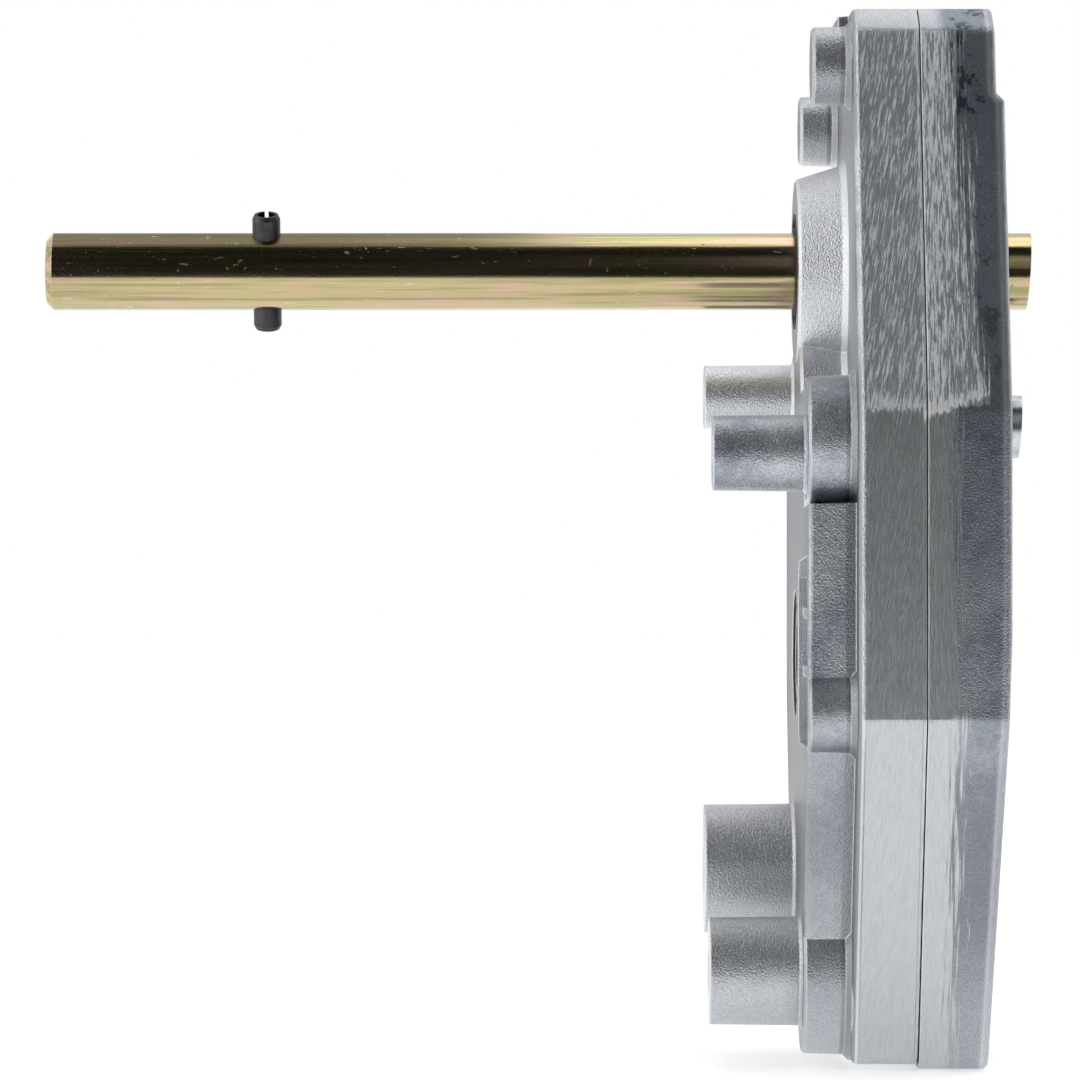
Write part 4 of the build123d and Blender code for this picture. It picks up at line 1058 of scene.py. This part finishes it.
def only_glow(tree, shader, colour):
    """The surface shines by itself in its colour, and reflects nothing."""
    fill(tree, shader.inputs["Emission Color"], colour)
    shader.inputs["Emission Strength"].default_value = 1.0
    shader.inputs["Base Color"].default_value = grey(0.0)
    shader.inputs["Specular IOR Level"].default_value = 0.0


def only_mirrored(sheet):
    """The sheet shows in reflections, but not to the camera, and it casts no shadow or diffuse light."""
    sheet.visible_camera = False
    sheet.visible_shadow = False
    sheet.visible_diffuse = False


def make_card_material():
    """Nearly black, a little lighter low down, with a light patch before the casing."""
    material, tree, shader = new_material("studio_card")
    place = split(tree, object_place(tree))
    low_z, high_z = CARD_SHADE_Z
    share = put(tree, "ShaderNodeMapRange", Value=place[2], From_Min=low_z, From_Max=high_z)
    shade = blend_colours(tree, share.outputs[0], grey(CARD_LOW_SHADE), grey(CARD_HIGH_SHADE))
    above = smooth_step(tree, place[2], *PATCH_LOW_Z)
    below = without(tree, smooth_step(tree, place[2], *PATCH_HIGH_Z))
    patch = times(tree, smooth_step(tree, place[0], *PATCH_X), times(tree, above, below))
    only_glow(tree, shader, blend_colours(tree, patch, shade, grey(PATCH_SHADE)))
    return material


def make_tent_material():
    material, tree, shader = new_material("studio_tent")
    only_glow(tree, shader, grey(TENT_SHADE))
    return material


def make_card():
    """Stands on the floor before the object, leans over it, and turns back at its right end."""
    corners = []
    for y, rise in CARD_PROFILE:
        z = cad_low[2] + rise
        corners += [(CARD_LEFT_X, y, z), (CARD_RIGHT_X, y, z), (CARD_RIGHT_X, CARD_WING_Y, z)]
    faces = []
    for first in range(0, 3 * len(CARD_PROFILE) - 3, 3):
        faces += [(first, first + 1, first + 4, first + 3), (first + 1, first + 2, first + 5, first + 4)]
    sheet = make_sheet("studio_card_sheet", corners, faces, make_card_material())
    only_mirrored(sheet)
    return sheet


def make_tent():
    """Hangs above and behind the bare shaft, from the card's top edge to the floor."""
    corners = []
    for y, rise in TENT_PROFILE:
        z = cad_low[2] + rise
        corners += [(CARD_LEFT_X, y, z), (TENT_RIGHT_X, y, z)]
    faces = [(first, first + 1, first + 3, first + 2) for first in range(0, 2 * len(TENT_PROFILE) - 2, 2)]
    sheet = make_sheet("studio_tent_sheet", corners, faces, make_tent_material())
    only_mirrored(sheet)
    return sheet


card = make_card()
tent = make_tent()
print("card faces", len(card.data.polygons), "tent faces", len(tent.data.polygons))

# %% [markdown]
# ## Lamps
#
# Three soft boxes give the casing its form: a large one above and a little behind, and one on each side. They
# are large for the part, so their shadows have no hard border. One lamp would leave an end of the part dull.

# %% Lamps
LAMP_AIM = (0.0, 0.0, -0.07)
TOP_SIZE = (1.6, 1.2)
TOP_POWER = 5.5
SIDE_SIZE = (0.8, 1.2)
SIDE_POWER = 2.6


def softbox(name, place, size, power):
    data = bpy.data.lights.new(name, "AREA")
    data.shape = "RECTANGLE"
    data.size, data.size_y = size
    data.energy = power
    lamp = bpy.data.objects.new(name, data)
    lamp.location = place
    lamp.rotation_euler = (Vector(LAMP_AIM) - Vector(place)).to_track_quat("-Z", "Y").to_euler()
    bpy.context.scene.collection.objects.link(lamp)
    return lamp


top_light = softbox("top_light", (0.1, 0.3, 1.5), TOP_SIZE, TOP_POWER)
left_light = softbox("left_light", (-1.5, -0.3, 0.5), SIDE_SIZE, SIDE_POWER)
right_light = softbox("right_light", (1.5, 0.6, 0.4), SIDE_SIZE, SIDE_POWER)

# %% [markdown]
# ## Picture settings
#
# The Standard view shows colours as they are. A filmic view would pull the white ground down to a light grey.

# %% Picture settings
bpy.context.scene.view_settings.view_transform = "Standard"
print("view", bpy.context.scene.view_settings.view_transform)
